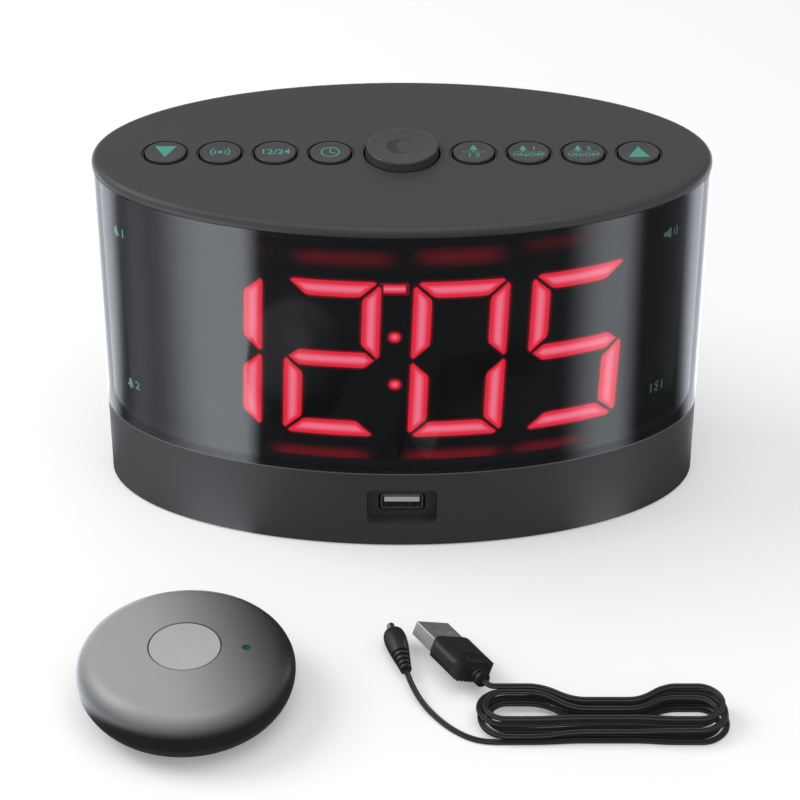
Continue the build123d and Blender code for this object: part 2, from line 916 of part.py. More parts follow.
def usb_socket_contacts():
    y0 = socket_front() + contact_setback
    high = socket_z + tongue_low
    strips = []
    for k in range(4):
        x = (k - 1.5) * contact_pitch
        strips.append(block(x - contact_width / 2, x + contact_width / 2, y0, y0 + contact_length,
                            high - contact_thickness, high).solid())
    return Compound(strips)


def jack_face():
    """The rear of the jack's square body, just inside the base's wall."""
    return oval_y(jack_x + jack_width / 2, wall) - running_gap


def power_jack():
    face_y = jack_face()
    nose_y = oval_y(jack_x) - wall / 2
    bore_end = nose_y - jack_bore_depth
    body = block(jack_x - jack_width / 2, jack_x + jack_width / 2, face_y - jack_length,
                 face_y, main_board_top, jack_z + jack_width / 2)
    body += bar_y(jack_x, jack_z, jack_nose_radius, face_y - overlap, nose_y)
    body -= bar_y(jack_x, jack_z, jack_bore_radius, bore_end, nose_y + overlap)
    return body + bar_y(jack_x, jack_z, jack_pin_radius, bore_end - overlap,
                        nose_y - jack_pin_setback)


def radio_board():
    return block(radio_x - radio_width / 2, radio_x + radio_width / 2,
                 radio_y - radio_depth / 2, radio_y + radio_depth / 2,
                 main_board_top, main_board_top + radio_board_thickness)


def radio_can():
    low = main_board_top + radio_board_thickness
    can = Pos(radio_x - radio_can_shift, radio_y, low) * extrude(
        RectangleRounded(radio_can_width, radio_can_depth, radio_can_corner), radio_can_height)
    return chamfer(can.faces().sort_by(Axis.Z)[-1].edges(), radio_can_edge)


def aerial():
    low = main_board_top + radio_board_thickness
    return post(radio_x + radio_width / 2 - aerial_inset, radio_y, aerial_radius, low,
                low + aerial_length)


def speaker_frame():
    """Steel basket with its rim in the collar and the magnet behind."""
    back = speaker_front_y - speaker_rim
    body = bar_y(speaker_x, speaker_z, speaker_radius, back, speaker_front_y)
    plane = Plane((speaker_x, back, speaker_z), x_dir=(1, 0, 0), z_dir=(0, -1, 0))
    cup_radius = speaker_radius - speaker_rim_width
    body += loft([plane * Circle(cup_radius), plane.offset(speaker_depth) * Circle(magnet_radius)])
    inner = plane.offset(-speaker_rim)
    body -= loft([inner * Circle(cup_radius - speaker_sheet),
                  inner.offset(speaker_depth) * Circle(magnet_radius - speaker_rim_width)])
    rear = back - speaker_depth
    return body + bar_y(speaker_x, speaker_z, magnet_radius, rear - magnet_depth,
                        rear + speaker_sheet)


def speaker_cone():
    """Paper cone with its dust cap, inside the basket."""
    front = speaker_front_y - cone_setback
    plane = Plane((speaker_x, front, speaker_z), x_dir=(1, 0, 0), z_dir=(0, -1, 0))
    rim = speaker_radius - speaker_rim_width - cone_gap
    cone = loft([plane * Circle(rim), plane.offset(cone_depth) * Circle(dust_cap_radius)])
    cone -= loft([plane * Circle(rim - cone_thickness),
                  plane.offset(cone_depth - cone_thickness) * Circle(
                      dust_cap_radius - cone_thickness)])
    rear = front - cone_depth
    return cone + bar_y(speaker_x, speaker_z, dust_cap_radius, rear, rear + 2 * cone_thickness)


def ribbon(x, y, low, high, plug_lows):
    """A flat cable that stands on edge, with a plug from each of the heights plug_lows."""
    half = ribbon_width / 2
    strip = block(x - half, x + half, y - ribbon_thickness / 2, y + ribbon_thickness / 2, low,
                  high)
    half += ribbon_plug_extra
    for plug_low in plug_lows:
        strip += block(x - half, x + half, y - ribbon_plug_depth / 2, y + ribbon_plug_depth / 2,
                       plug_low, plug_low + ribbon_plug_height)
    return strip


def key_ribbon():
    return ribbon(key_ribbon_x, key_ribbon_y, main_board_top, key_board_low,
                  (main_board_top, key_board_low - ribbon_plug_height))


def display_ribbon():
    y = light_box_back + board_thickness + ribbon_plug_depth / 2
    return ribbon(display_ribbon_x, y, main_board_top, light_box_low + ribbon_plug_height,
                  (main_board_top, light_box_low))


# Shaker puck

def at_puck(shape):
    return Pos(puck_x, puck_y, 0) * shape


def puck_solid(skin):
    """The puck's turned form, drawn in by skin: a wide crown, a shoulder and a round foot."""
    crown = puck_crown_radius - skin
    shoulder = puck_shoulder_radius - skin
    rim = puck_radius - skin
    crown_z = puck_height - puck_crown_radius
    shoulder_x = puck_radius - puck_shoulder_radius
    reach = puck_crown_radius - puck_shoulder_radius
    shoulder_z = crown_z + sqrt(reach ** 2 - shoulder_x ** 2)
    turn = atan2(shoulder_x, shoulder_z - crown_z)
    meet = (crown * sin(turn), crown_z + crown * cos(turn))
    heel_radius = shoulder_z - foot_drop - skin
    heel_x = rim - heel_radius
    top = (0, puck_height - skin)
    crown_mid = (crown * sin(turn / 2), crown_z + crown * cos(turn / 2))
    half = (pi / 2 - turn) / 2
    shoulder_mid = (shoulder_x + shoulder * cos(half), shoulder_z + shoulder * sin(half))
    heel_mid = (heel_x + heel_radius * cos(pi / 4), shoulder_z - heel_radius * sin(pi / 4))
    side = ThreePointArc(top, crown_mid, meet)
    side += ThreePointArc(meet, shoulder_mid, (rim, shoulder_z))
    side += ThreePointArc((rim, shoulder_z), heel_mid, (heel_x, foot_drop + skin))
    side += Polyline((heel_x, foot_drop + skin), (0, foot_drop + skin), top)
    outline = make_face(Plane.XZ * side)
    return revolve(outline, Axis.Z, 360)


def puck_ring_places(distance, turns):
    return [(distance * cos(radians(t)), distance * sin(radians(t))) for t in turns]


puck_screw_places = puck_ring_places(puck_screw_distance, (45, 135, 225, 315))
puck_post_places = puck_ring_places(puck_post_distance, (0, 180, 270))
puck_boss_seat = puck_split + puck_boss_rise
puck_head_top = foot_drop + puck_head_sink + puck_head_height
puck_screw_top = puck_head_top + puck_screw_length + puck_screw_gap


def puck_shell():
    return puck_solid(0) - puck_solid(puck_wall)


def puck_jack_hole():
    """The round way through the puck's wall to its socket."""
    return bar_y(0, puck_jack_z, puck_jack_hole_radius, puck_jack_face(), puck_radius + overlap)


def puck_top():
    shell = puck_shell() & post(0, 0, 2 * puck_radius, puck_split, 2 * puck_height)
    inner = puck_solid(puck_wall / 2)
    for x, y in puck_screw_places:
        shell += post(x, y, puck_boss_radius, puck_boss_seat, puck_height) & inner
        shell -= post(x, y, puck_screw_radius, 0, puck_screw_top)
    shell -= post(0, 0, puck_button_radius + puck_button_gap, puck_flange_low, 2 * puck_height)
    shell -= post(puck_lamp_distance, 0, puck_lamp_radius + puck_lamp_gap, puck_flange_low,
                  2 * puck_height)
    return at_puck(shell - puck_jack_hole())


def puck_bottom():
    shell = puck_shell() & post(0, 0, 2 * puck_radius, 0, puck_split)
    for x, y in puck_screw_places:
        shell += post(x, y, puck_boss_radius, puck_floor_top - overlap, puck_boss_seat)
        shell -= post(x, y, puck_head_radius + puck_head_gap, 0, puck_head_top)
        shell -= post(x, y, puck_screw_radius, 0, puck_boss_seat)
    for x, y in puck_post_places:
        shell += post(x, y, puck_post_radius, puck_floor_top - overlap, puck_board_low)
    back = puck_jack_face() - puck_jack_length + puck_seat_inset
    shell += block(-puck_seat_width / 2, puck_seat_width / 2, back, back + puck_seat_length,
                   puck_floor_top - overlap, puck_jack_z - puck_jack_height / 2)
    ring = Circle(puck_foot_outer + fit_gap) - Circle(puck_foot_inner - fit_gap)
    return at_puck(shell - extrude(ring, foot_thickness) - puck_jack_hole())


def puck_foot():
    ring = Circle(puck_foot_outer) - Circle(puck_foot_inner)
    return at_puck(extrude(ring, foot_thickness))


def puck_screws():
    head_low = foot_drop + puck_head_sink
    return at_puck(Compound([
        screw(x, y, head_low, puck_screw_radius, puck_screw_length, puck_head_radius,
              puck_head_height).solid() for x, y in puck_screw_places]))


def puck_button():
    cap = post(0, 0, puck_button_radius, puck_flange_low, 2 * puck_height)
    cap &= puck_solid(puck_button_sink)
    flange = puck_button_radius + puck_flange_extra
    cap += post(0, 0, flange, puck_flange_low, puck_flange_low + flange_thickness)
    bottom = puck_plunger_top() + puck_button_travel + stem_gap
    return at_puck(cap + post(0, 0, stem_radius, bottom, puck_flange_low + flange_thickness))


def puck_plunger_top():
    return puck_board_low + puck_board_thickness + puck_switch_height + puck_plunger_height


def puck_switch():
    low = puck_board_low + puck_board_thickness
    body = Pos(0, 0, low + puck_switch_height / 2) * Box(switch_side, switch_side,
                                                         puck_switch_height)
    body += post(0, 0, plunger_radius, low + puck_switch_height, puck_plunger_top())
    return at_puck(body)


def puck_lamp():
    """Light pipe from the board to the hole in the crown."""
    low = puck_board_low + puck_board_thickness
    pipe = post(puck_lamp_distance, 0, puck_lamp_radius, low, 2 * puck_height)
    return at_puck(pipe & puck_solid(puck_lamp_sink))


def puck_board():
    high = puck_board_low + puck_board_thickness
    board = post(0, 0, puck_board_radius, puck_board_low, high)
    for x, y in puck_screw_places:
        board -= post(x, y, puck_boss_radius + running_gap, puck_board_low, high)
    return at_puck(board)


def puck_battery():
    half = battery_width / 2
    cell = block(-half, half, battery_front, battery_front + battery_depth, puck_floor_top,
                 puck_floor_top + battery_height)
    return at_puck(fillet(cell.edges().filter_by(Axis.Z), battery_corner))


def motor_can():
    can = bar_x(motor_y, motor_z, motor_radius, motor_left, motor_left + motor_length)
    can = fillet(can.edges().filter_by(GeomType.CIRCLE), motor_edge)
    can += bar_x(motor_y, motor_z, motor_nose_radius, motor_left - motor_nose_length,
                 motor_left + overlap)
    return at_puck(can - bar_x(motor_y, motor_z, shaft_radius + shaft_clearance,
                               motor_left - overlap, motor_left + shaft_depth + shaft_end_gap))


def motor_weight():
    """Half-round weight with the motor's shaft pressed into it, which makes the shake."""
    right = motor_left - weight_gap
    left = right - weight_length
    weight = bar_x(motor_y, motor_z, motor_radius, left, right)
    weight -= block(left, right, motor_y - 2 * motor_radius, motor_y + 2 * motor_radius,
                    motor_z + weight_top, motor_z + 2 * motor_radius)
    weight += bar_x(motor_y, motor_z, motor_nose_radius, left, right)
    return at_puck(weight + bar_x(motor_y, motor_z, shaft_radius, left - shaft_end,
                                  motor_left + shaft_depth))


def motor_bracket():
    mid = motor_left + motor_length / 2
    width = motor_radius + bracket_wall
    body = block(mid - bracket_length / 2, mid + bracket_length / 2, motor_y - width,
                 motor_y + width, puck_floor_top, motor_z + bracket_rise)
    return at_puck(body - bar_x(motor_y, motor_z, motor_radius, mid - bracket_length,
                                mid + bracket_length))


def puck_jack_face():
    return puck_radius - puck_wall - puck_jack_gap


def puck_jack():
    face_y = puck_jack_face()
    back_y = face_y - puck_jack_length
    low = puck_jack_z - puck_jack_height / 2
    body = block(-puck_jack_width / 2, puck_jack_width / 2, back_y, face_y, low,
                 low + puck_jack_height)
    body -= bar_y(0, puck_jack_z, puck_jack_bore, back_y + overlap, face_y + overlap)
    return at_puck(body + bar_y(0, puck_jack_z, puck_jack_pin, back_y + puck_seat_inset,
                                face_y - overlap))


# Charging lead

def swept_cord(path):
    return sweep(Plane(path.location_at(0)) * Circle(cord_diameter / 2), path=path)


def cord_run():
    """The free stretch from the round plug to the hank, as straights with rounded bends."""
    points = [Vector(*p) for p in cord_route]
    radii = []
    for before, here, after in zip(points, points[1:], points[2:]):
        turn = (here - before).get_angle(after - here)
        shorter = min((here - before).length, (after - here).length)
        radii.append(cord_bend_share * shorter / tan(radians(turn) / 2))
    return swept_cord(FilletPolyline(*points, radius=radii))


def hank_runs():
    """Each run in order: its side, its loop from the outside in, its layer at both ends."""
    loops = [(side, loop) for loop in range(hank_loops) for side in (-1, 1)]
    runs = []
    for layer in range(hank_layers):
        order = loops[::-1] if layer % 2 else loops
        for side, loop in order[1:] if layer else order:
            runs.append([side, loop, layer, layer])
        runs[-1][3] = layer + 1
    return runs[:-1]


def s_link(start, end, heading):
    """Two equal arcs from start to end, both ends pointing along X by heading."""
    a, b = Vector(*start), Vector(*end)
    middle = (a + b) * 0.5
    first = TangentArc(a, middle, tangent=(heading, 0, 0))
    second = TangentArc(middle, b, tangent=first % 1)
    return [first, second]


def hank_end(side, loop, layer, way):
    """Where a run meets a turn, at the hank's left end (way -1) or its right end (way 1)."""
    x = hank_x + way * hank_half_run + hank_stray * sin(hank_stray_turn * layer)
    y = hank_y + side * (hank_half_width - hank_step * loop)
    return (x, y, hank_floor_z + hank_layer_rise * layer)


def hank_waist(side, loop, layer):
    """Where a run passes the waist, which the rear runs are drawn in to most."""
    pull = hank_front_pull if side < 0 else hank_rear_pull
    y = hank_y + side * (hank_half_width - hank_step * loop - pull)
    return (hank_x + hank_waist_x, y, hank_floor_z + hank_layer_rise * layer)


def hank_path():
    """Front runs go towards +X and rear runs back; each is drawn in at the waist."""
    parts = []
    end = None
    for side, loop, first_layer, last_layer in hank_runs():
        way = -side
        start = hank_end(side, loop, first_layer, -way)
        if end is not None:
            tip = start[0] - way * abs(start[1] - end[1]) / 2
            parts.append(ThreePointArc(end, (tip, (start[1] + end[1]) / 2, start[2]), start))
        waist = hank_waist(side, loop, (first_layer + last_layer) / 2)
        end = hank_end(side, loop, last_layer, way)
        parts += s_link(start, waist, way) + s_link(waist, end, way)
    leave = lead_start()
    parts.append(Line(end, leave))
    parts.append(TangentArc(leave, usb_end, tangent=(-1, 0, 0)))
    return parts


def lead_start():
    """Where the last run leaves the hank to turn towards the flat plug."""
    back = radians(usb_angle + 90)
    y = hank_y + hank_half_width
    radius = (usb_end_y - y) / (1 + sin(back))
    return (usb_end_x - radius * cos(back), y, hank_top_z)


def hank():
    return swept_cord(Wire(hank_path()))


def jack_plug_frame():
    """Frame of the round plug: +X points from where the cord enters it towards its tip."""
    return Pos(*cord_route[0]) * Rot(0, 0, jack_plug_angle)


def usb_plug_frame():
    """Frame of the flat plug, which leans tip down and rolls over to one side."""
    return Pos(*usb_end) * Rot(0, 0, usb_angle) * Rot(0, usb_tilt, 0) * Rot(usb_roll, 0, 0)


def bar_along(radius, start, length):
    return Pos(start + length / 2, 0, 0) * Rot(0, 90, 0) * Cylinder(radius, length)


def groove_along(start, width, inner_radius, outer_radius):
    return bar_along(outer_radius, start, width) - bar_along(inner_radius, start, width)


def jack_plug_body():
    """Turned grip that grows from the cord, with grooves that let it bend."""
    last = jack_plug_profile[-1][0]
    side = Spline(*jack_plug_profile)
    side += Polyline(jack_plug_profile[-1], (last, 0), (0, 0), jack_plug_profile[0])
    body = revolve(make_face(side), Axis.X, 360)
    for k in range(jack_plug_grooves):
        start = jack_plug_groove_start + k * jack_plug_groove_pitch
        radius = jack_plug_profile[0][1] + k * jack_plug_groove_growth - jack_plug_groove_depth
        body -= groove_along(start, jack_plug_groove_width, radius, 2 * jack_plug_profile[3][1])
    return jack_plug_frame() * body


def jack_plug_barrel():
    start = jack_plug_profile[-1][0]
    barrel = bar_along(jack_plug_barrel_radius, start, jack_plug_barrel_length)
    tip = barrel.edges().filter_by(GeomType.CIRCLE).sort_by(Axis.X)[-1]
    barrel = chamfer(tip, jack_plug_barrel_edge)
    bore = start + jack_plug_barrel_length - jack_plug_bore_depth
    barrel -= bar_along(jack_plug_barrel_bore, bore, jack_plug_barrel_length)
    return jack_plug_frame() * barrel


def usb_plug_body():
    """Moulded grip, rounded in plan and in section, with ribs round the cord's relief."""
    end = usb_relief_length + usb_body_length
    section = Pos(usb_relief_length, 0, 0) * (Plane.YZ * RectangleRounded(
        usb_body_width, usb_body_height, usb_body_corner))
    grip = extrude(section, usb_body_length)
    plan = Pos((usb_relief_length + end) / 2, 0, -usb_body_height) * RectangleRounded(
        usb_body_length, usb_body_width, usb_body_plan_corner)
    grip &= extrude(plan, 2 * usb_body_height)
    for ring in range(usb_rib_rings):
        outer = usb_rib_start + ring * usb_rib_pitch
        band = Circle(outer) - Circle(outer - usb_rib_width)
        for low in (usb_body_height / 2 - usb_rib_depth, -usb_body_height / 2 - overlap):
            height = usb_rib_depth + overlap
            grip -= Pos(usb_relief_length, 0, low) * extrude(band, height)
    relief = bar_along(usb_relief_radius, usb_relief_seat, usb_relief_length)
    for k in range(usb_relief_grooves):
        start = usb_relief_start + k * usb_relief_pitch
        relief -= groove_along(start, usb_relief_groove_width, usb_relief_core,
                               2 * usb_relief_radius)
    return usb_plug_frame() * (grip + relief)


def usb_plug_shell():
    """Folded sheet-metal sleeve, with its two latch holes in each flat side."""
    start = usb_relief_length + usb_body_length
    place = Pos(start + usb_shell_length / 2, 0, 0)
    sheet = 2 * usb_shell_sheet
    outer = Box(usb_shell_length, usb_shell_width, usb_shell_height)
    outer = fillet(outer.edges().filter_by(Axis.X), usb_shell_edge)
    shell = place * (outer - Box(usb_shell_length, usb_shell_width - sheet,
                                 usb_shell_height - sheet))
    for side in (-1, 1):
        hole = Box(usb_hole_side, usb_hole_side, 2 * usb_shell_height)
        shell -= Pos(start + usb_shell_length * usb_hole_place, side * usb_hole_spacing / 2, 0) * hole
    return usb_plug_frame() * shell


def usb_plug_tongue():
    length = usb_shell_length - usb_tongue_setback
    start = usb_relief_length + usb_body_length
    low = usb_shell_sheet - usb_shell_height / 2
    body = Pos(start + length / 2, 0, low + usb_tongue_thickness / 2) * Box(
        length, usb_shell_width - 2 * usb_shell_sheet, usb_tongue_thickness)
    return usb_plug_frame() * body


parts = {
    "lid": lid, "front_window": window, "rear_cover": rear_cover, "base_shell": base,
    "foot_ring": foot_ring, "case_screws": case_screws, "battery_door": battery_door,
    "coin_cell": coin_cell, "cell_holder": cell_holder, "cell_contact": cell_contact,
    "snooze_button": snooze_button, "key_board": key_board, "key_switches": key_switches,
    "display_panel": display_panel,
    "lit_segments": lit_segments, "unlit_segments": unlit_segments, "light_box": light_box,
    "display_board": display_board, "display_leds": display_leds, "main_board": main_board,
    "board_screws": board_screws, "usb_socket_shell": usb_socket_shell,
    "usb_socket_tongue": usb_socket_tongue, "usb_socket_contacts": usb_socket_contacts,
    "power_jack": power_jack, "radio_board": radio_board, "radio_can": radio_can,
    "aerial": aerial, "speaker_frame": speaker_frame, "speaker_cone": speaker_cone,
    "key_ribbon": key_ribbon, "display_ribbon": display_ribbon,
    "puck_top": puck_top, "puck_bottom": puck_bottom, "puck_foot": puck_foot,
    "puck_screws": puck_screws, "puck_button": puck_button, "puck_switch": puck_switch,
    "puck_lamp": puck_lamp, "puck_board": puck_board, "puck_battery": puck_battery,
    "motor_can": motor_can, "motor_weight": motor_weight,
    "motor_bracket": motor_bracket, "puck_jack": puck_jack,
    "cord_run": cord_run, "cord_hank": hank,
    "jack_plug_body": jack_plug_body, "jack_plug_barrel": jack_plug_barrel,
    "usb_plug_body": usb_plug_body, "usb_plug_shell": usb_plug_shell,
    "usb_plug_tongue": usb_plug_tongue,
}

os.makedirs("parts", exist_ok=True)
for name, make in parts.items():
    export_step(make(), f"parts/{name}.step")
for name, x in zip(button_names, button_xs):
    export_step(lid_button(x), f"parts/{name}.step")
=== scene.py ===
from math import cos, pi, radians, sin, sqrt, tan

import bmesh
import bpy
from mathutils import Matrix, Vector

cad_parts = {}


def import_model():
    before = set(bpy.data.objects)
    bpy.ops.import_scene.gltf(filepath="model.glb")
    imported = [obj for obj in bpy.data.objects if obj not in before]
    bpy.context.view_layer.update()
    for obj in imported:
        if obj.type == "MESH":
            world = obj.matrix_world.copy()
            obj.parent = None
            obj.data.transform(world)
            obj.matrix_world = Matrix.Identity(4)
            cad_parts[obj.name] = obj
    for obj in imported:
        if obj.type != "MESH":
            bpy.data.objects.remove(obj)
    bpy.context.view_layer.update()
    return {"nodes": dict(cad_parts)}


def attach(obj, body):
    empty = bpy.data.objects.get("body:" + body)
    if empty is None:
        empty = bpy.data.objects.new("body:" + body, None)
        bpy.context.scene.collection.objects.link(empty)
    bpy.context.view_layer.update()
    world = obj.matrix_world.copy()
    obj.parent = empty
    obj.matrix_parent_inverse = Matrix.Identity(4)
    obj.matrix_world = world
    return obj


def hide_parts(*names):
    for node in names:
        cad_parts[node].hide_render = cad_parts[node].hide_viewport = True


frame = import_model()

# Looks of a bed shaker alarm clock: the clock head, its round shaker and the charging lead.
# The scene is in metres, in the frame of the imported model: +Z up, -Y out of the window.

mm = 0.001
nodes = frame["nodes"]

# The clock's outline in millimetres, the same as in the model
half_width = 95.0
half_depth = 45.2
case_height = 117.5
seam_height = 28.3
panel_inset = 7.3


def oval_y(x, inset=0.0):
    """Y of the oval's front at x, inset from the case's side."""
    share = min(abs(x) / (half_width - inset), 1.0)
    return -(half_depth - inset) * sqrt(1 - share ** 2)


def placed(name, data):
    """An object at the origin with that mesh, lamp or camera."""
    made = bpy.data.objects.new(name, data)
    bpy.context.scene.collection.objects.link(made)
    return made


# Tools for materials

class Value:
    """A number on a node's socket. Sums on it become Math nodes."""

    def __init__(self, finish, socket):
        self.finish = finish
        self.socket = socket

    def with_math(self, operation, first, second=0.0):
        return self.finish.node("Math", {"operation": operation}, {0: first, 1: second})

    def __add__(self, other):
        return self.with_math("ADD", self, other)

    def __sub__(self, other):
        return self.with_math("SUBTRACT", self, other)

    def __rsub__(self, other):
        return self.with_math("SUBTRACT", other, self)

    def __mul__(self, other):
        return self.with_math("MULTIPLY", self, other)

    def __abs__(self):
        return self.with_math("ABSOLUTE", self)

    def smooth(self, low, high):
        """0 below low and 1 above high, with a smooth step between them."""
        settings = {"interpolation_type": "SMOOTHSTEP"}
        sockets = {"Value": self, "From Min": low, "From Max": high}
        return self.finish.node("MapRange", settings, sockets)

    def within(self, low, high, blur):
        """1 between low and high, falling to 0 over blur on each side."""
        return self.smooth(low - blur, low + blur) * (1 - self.smooth(high - blur, high + blur))


class Finish:
    """One material: its Principled shader and the nodes that feed it."""

    def __init__(self, name, colour, roughness, **fixed):
        self.material = bpy.data.materials.new(name)
        self.material.use_nodes = True
        self.tree = self.material.node_tree
        self.shader = self.tree.nodes["Principled BSDF"]
        self.place = self.node("TexCoord", {}, {}, "Object")
        self.set("Base Color", (*colour, 1.0))
        self.set("Roughness", roughness)
        for socket, value in fixed.items():
            self.set(socket.replace("_", " "), value)

    def node(self, kind, settings, sockets, output=0):
        """Adds a node: first its own settings, then the values or links of its sockets."""
        made = self.tree.nodes.new("ShaderNode" + kind)
        for name, value in settings.items():
            setattr(made, name, value)
        for key, value in sockets.items():
            self.join(value, made.inputs[key])
        return Value(self, made.outputs[output])

    def join(self, value, socket):
        if isinstance(value, Value):
            self.tree.links.new(value.socket, socket)
        else:
            socket.default_value = value

    def set(self, name, value):
        self.join(value, self.shader.inputs[name])

    def mixed(self, share, first, second):
        """The first colour where share is 0 and the second where it is 1."""
        sockets = {0: share, 6: (*first, 1.0), 7: (*second, 1.0)}
        return self.node("Mix", {"data_type": "RGBA"}, sockets, 2)

    def noise(self, size, detail=2.0):
        """Noise from 0 to 1, in spots of about that size."""
        sockets = {"Vector": self.place, "Scale": 1 / size, "Detail": detail}
        return self.node("TexNoise", {}, sockets)

    def along(self, axis):
        """The place along X, Y or Z in metres."""
        return self.node("SeparateXYZ", {}, {0: self.place}, axis)

    def own(self, attribute):
        """A number that the piece's mesh carries at each point."""
        return self.node("Attribute", {"attribute_name": attribute}, {}, 2)

    def bump(self, height, depth):
        sockets = {"Height": height, "Distance": depth, "Strength": 1.0}
        self.set("Normal", self.node("Bump", {}, sockets))

    def glow(self, share, dark, bright):
        """Light of its own, from the dark colour to the bright one."""
        self.set("Emission Color", self.mixed(share, dark, bright))
        self.set("Emission Strength", 1.0)


def shade(colour, times):
    return tuple(c * times for c in colour)


drift_size = 18 * mm
drift_share = 0.7
grain_roughness = 0.1


def moulded(name, colour, roughness, grain=0.35 * mm, depth=0.012 * mm, mottle=0.08):
    """Moulded plastic: a fine eroded grain, and a tone that drifts a little over the piece."""
    finish = Finish(name, colour, roughness)
    drift = finish.noise(drift_size, 3.0)
    fine = finish.noise(grain)
    tone = drift * drift_share + fine * (1 - drift_share)
    pale, deep = shade(colour, 1 + mottle), shade(colour, 1 - mottle)
    finish.set("Base Color", finish.mixed(tone, deep, pale))
    finish.set("Roughness", fine * grain_roughness + (roughness - grain_roughness / 2))
    finish.bump(fine, depth)
    return finish


mark_size = 0.25 * mm
mark_depth = 0.004 * mm
mark_roughness = 0.16
mark_polish = 0.06
stain_size = 4 * mm
stain_shade = 0.86


def metal(name, colour, roughness):
    """Plated or bare metal with fine working marks."""
    finish = Finish(name, colour, roughness, Metallic=1.0)
    marks = finish.noise(mark_size, 3.0)
    stain = finish.noise(stain_size)
    finish.set("Base Color", finish.mixed(stain, shade(colour, stain_shade), colour))
    finish.set("Roughness", marks * mark_roughness + (roughness - mark_polish))
    finish.bump(marks, mark_depth)
    return finish


def dress(finish, *names):
    """Gives CAD nodes that finish."""
    for name in names:
        slots = nodes[name].data.materials
        slots.clear()
        slots.append(finish.material)


# Camera, in metres

camera_distance = 0.900
camera_shift = -0.0006
camera_elevation = radians(34.0)
aimed_height = 0.050
tilt_below_aim = radians(1.32)
lens_width = 36.0
picture_pixels = 800
focal_pixels = 2816
nearest_seen = 0.01
farthest_seen = 20.0


def camera():
    data = bpy.data.cameras.new("camera")
    data.sensor_width = lens_width
    data.lens = focal_pixels * lens_width / picture_pixels
    data.clip_start = nearest_seen
    data.clip_end = farthest_seen
    made = placed("camera", data)
    made.location = (camera_shift, -camera_distance * cos(camera_elevation),
                     aimed_height + camera_distance * sin(camera_elevation))
    made.rotation_euler = (pi / 2 - camera_elevation - tilt_below_aim, 0.0, 0.0)
    bpy.context.scene.camera = made


# Floor, lamps and world, in metres

floor_colour = (0.86, 0.86, 0.86)
floor_reach = 4.0
floor_lift = 0.22
white = (1.0, 1.0, 1.0, 1.0)
world_tint = (0.98, 0.99, 1.0, 1.0)
world_strength = 0.55

# What gloss sees on the floor, by the angle round the clock from straight in front: painted
# reflections, bands of glow in place of studio cards
clock_core = 27 * mm
clock_core_y = 4.4 * mm
side_blend = 5 * mm
front_dim_reflection = 0.10
left_reflection = 3.4
left_reflection_rise = (radians(28), radians(35))
left_reflection_fall = (radians(44), radians(74))
right_reflection = 2.3
right_reflection_rise = (radians(34), radians(50))
right_reflection_fall = (radians(55), radians(66))
far_reflection = 0.75
far_reflection_span = (radians(68), radians(86))
far_reflection_blur = radians(8)
rear_reflection = 3.2
rear_reflection_rise = (radians(90), radians(104))
reflection_tint = (0.92, 0.97, 1.05, 1.0)


def painted_reflection_glow(finish):
    """Painted reflections, how bright the floor is in gloss: dark in front, a bright band on each
    side, white behind.
    """
    side = finish.along("X")
    across = abs(side) - clock_core
    forward = finish.along("Y") * -1.0 - clock_core_y
    turn = finish.node("Math", {"operation": "ARCTAN2"}, {0: across, 1: forward})
    right = side.smooth(-side_blend, side_blend)
    left_glow = turn.smooth(*left_reflection_rise) * (1 - turn.smooth(*left_reflection_fall)) * left_reflection
    right_glow = turn.smooth(*right_reflection_rise) * (1 - turn.smooth(*right_reflection_fall)) * right_reflection
    far = turn.within(*far_reflection_span, far_reflection_blur) * far_reflection
    rear = turn.smooth(*rear_reflection_rise) * rear_reflection
    return (left_glow + far) * (1 - right) + right_glow * right + rear + front_dim_reflection


def floor():
    """A wide pale floor, white to the camera, which shows painted reflection bands in gloss alone.
    """
    finish = Finish("floor_paper", floor_colour, 0.9)
    # Painted reflections: a glow on the floor that only gloss sees
    painted_reflections = finish.node("Emission", {}, {"Color": reflection_tint, "Strength": painted_reflection_glow(finish)})
    lift = finish.node("Emission", {}, {"Color": white, "Strength": floor_lift})
    paper = Value(finish, finish.shader.outputs[0])
    lifted = finish.node("AddShader", {}, {0: paper, 1: lift})
    camera_ray = finish.node("LightPath", {}, {}, "Is Camera Ray")
    glossy_ray = finish.node("LightPath", {}, {}, "Is Glossy Ray")
    plain = finish.node("MixShader", {}, {0: camera_ray, 1: paper, 2: lifted})
    both = finish.node("MixShader", {}, {0: glossy_ray, 1: plain, 2: painted_reflections})
    output = finish.tree.nodes["Material Output"]
    finish.tree.links.new(both.socket, output.inputs["Surface"])
    corners = [(x * floor_reach, y * floor_reach, 0)
               for x, y in ((-1, -1), (1, -1), (1, 1), (-1, 1))]
    mesh = bpy.data.meshes.new("floor")
    mesh.from_pydata(corners, [], [(0, 1, 2, 3)])
    mesh.materials.append(finish.material)
    placed("floor", mesh)


def lamp(name, place, target, width, power):
    data = bpy.data.lights.new(name, "AREA")
    data.shape = "SQUARE"
    data.size = width
    data.energy = power
    made = placed(name, data)
    made.location = place
    made.rotation_mode = "QUATERNION"
    made.rotation_quaternion = (Vector(target) - Vector(place)).to_track_quat("-Z", "Y")


def world():
    made = bpy.data.worlds.new("studio")
    made.use_nodes = True
    tree = made.node_tree
    light = tree.nodes["Background"]
    light.inputs["Color"].default_value = world_tint
    light.inputs["Strength"].default_value = world_strength
    backdrop = tree.nodes.new("ShaderNodeBackground")
    backdrop.inputs["Color"].default_value = white
    path = tree.nodes.new("ShaderNodeLightPath")
    mix = tree.nodes.new("ShaderNodeMixShader")
    tree.links.new(path.outputs["Is Camera Ray"], mix.inputs[0])
    tree.links.new(light.outputs[0], mix.inputs[1])
    tree.links.new(backdrop.outputs[0], mix.inputs[2])
    tree.links.new(mix.outputs[0], tree.nodes["World Output"].inputs["Surface"])
    bpy.context.scene.world = made


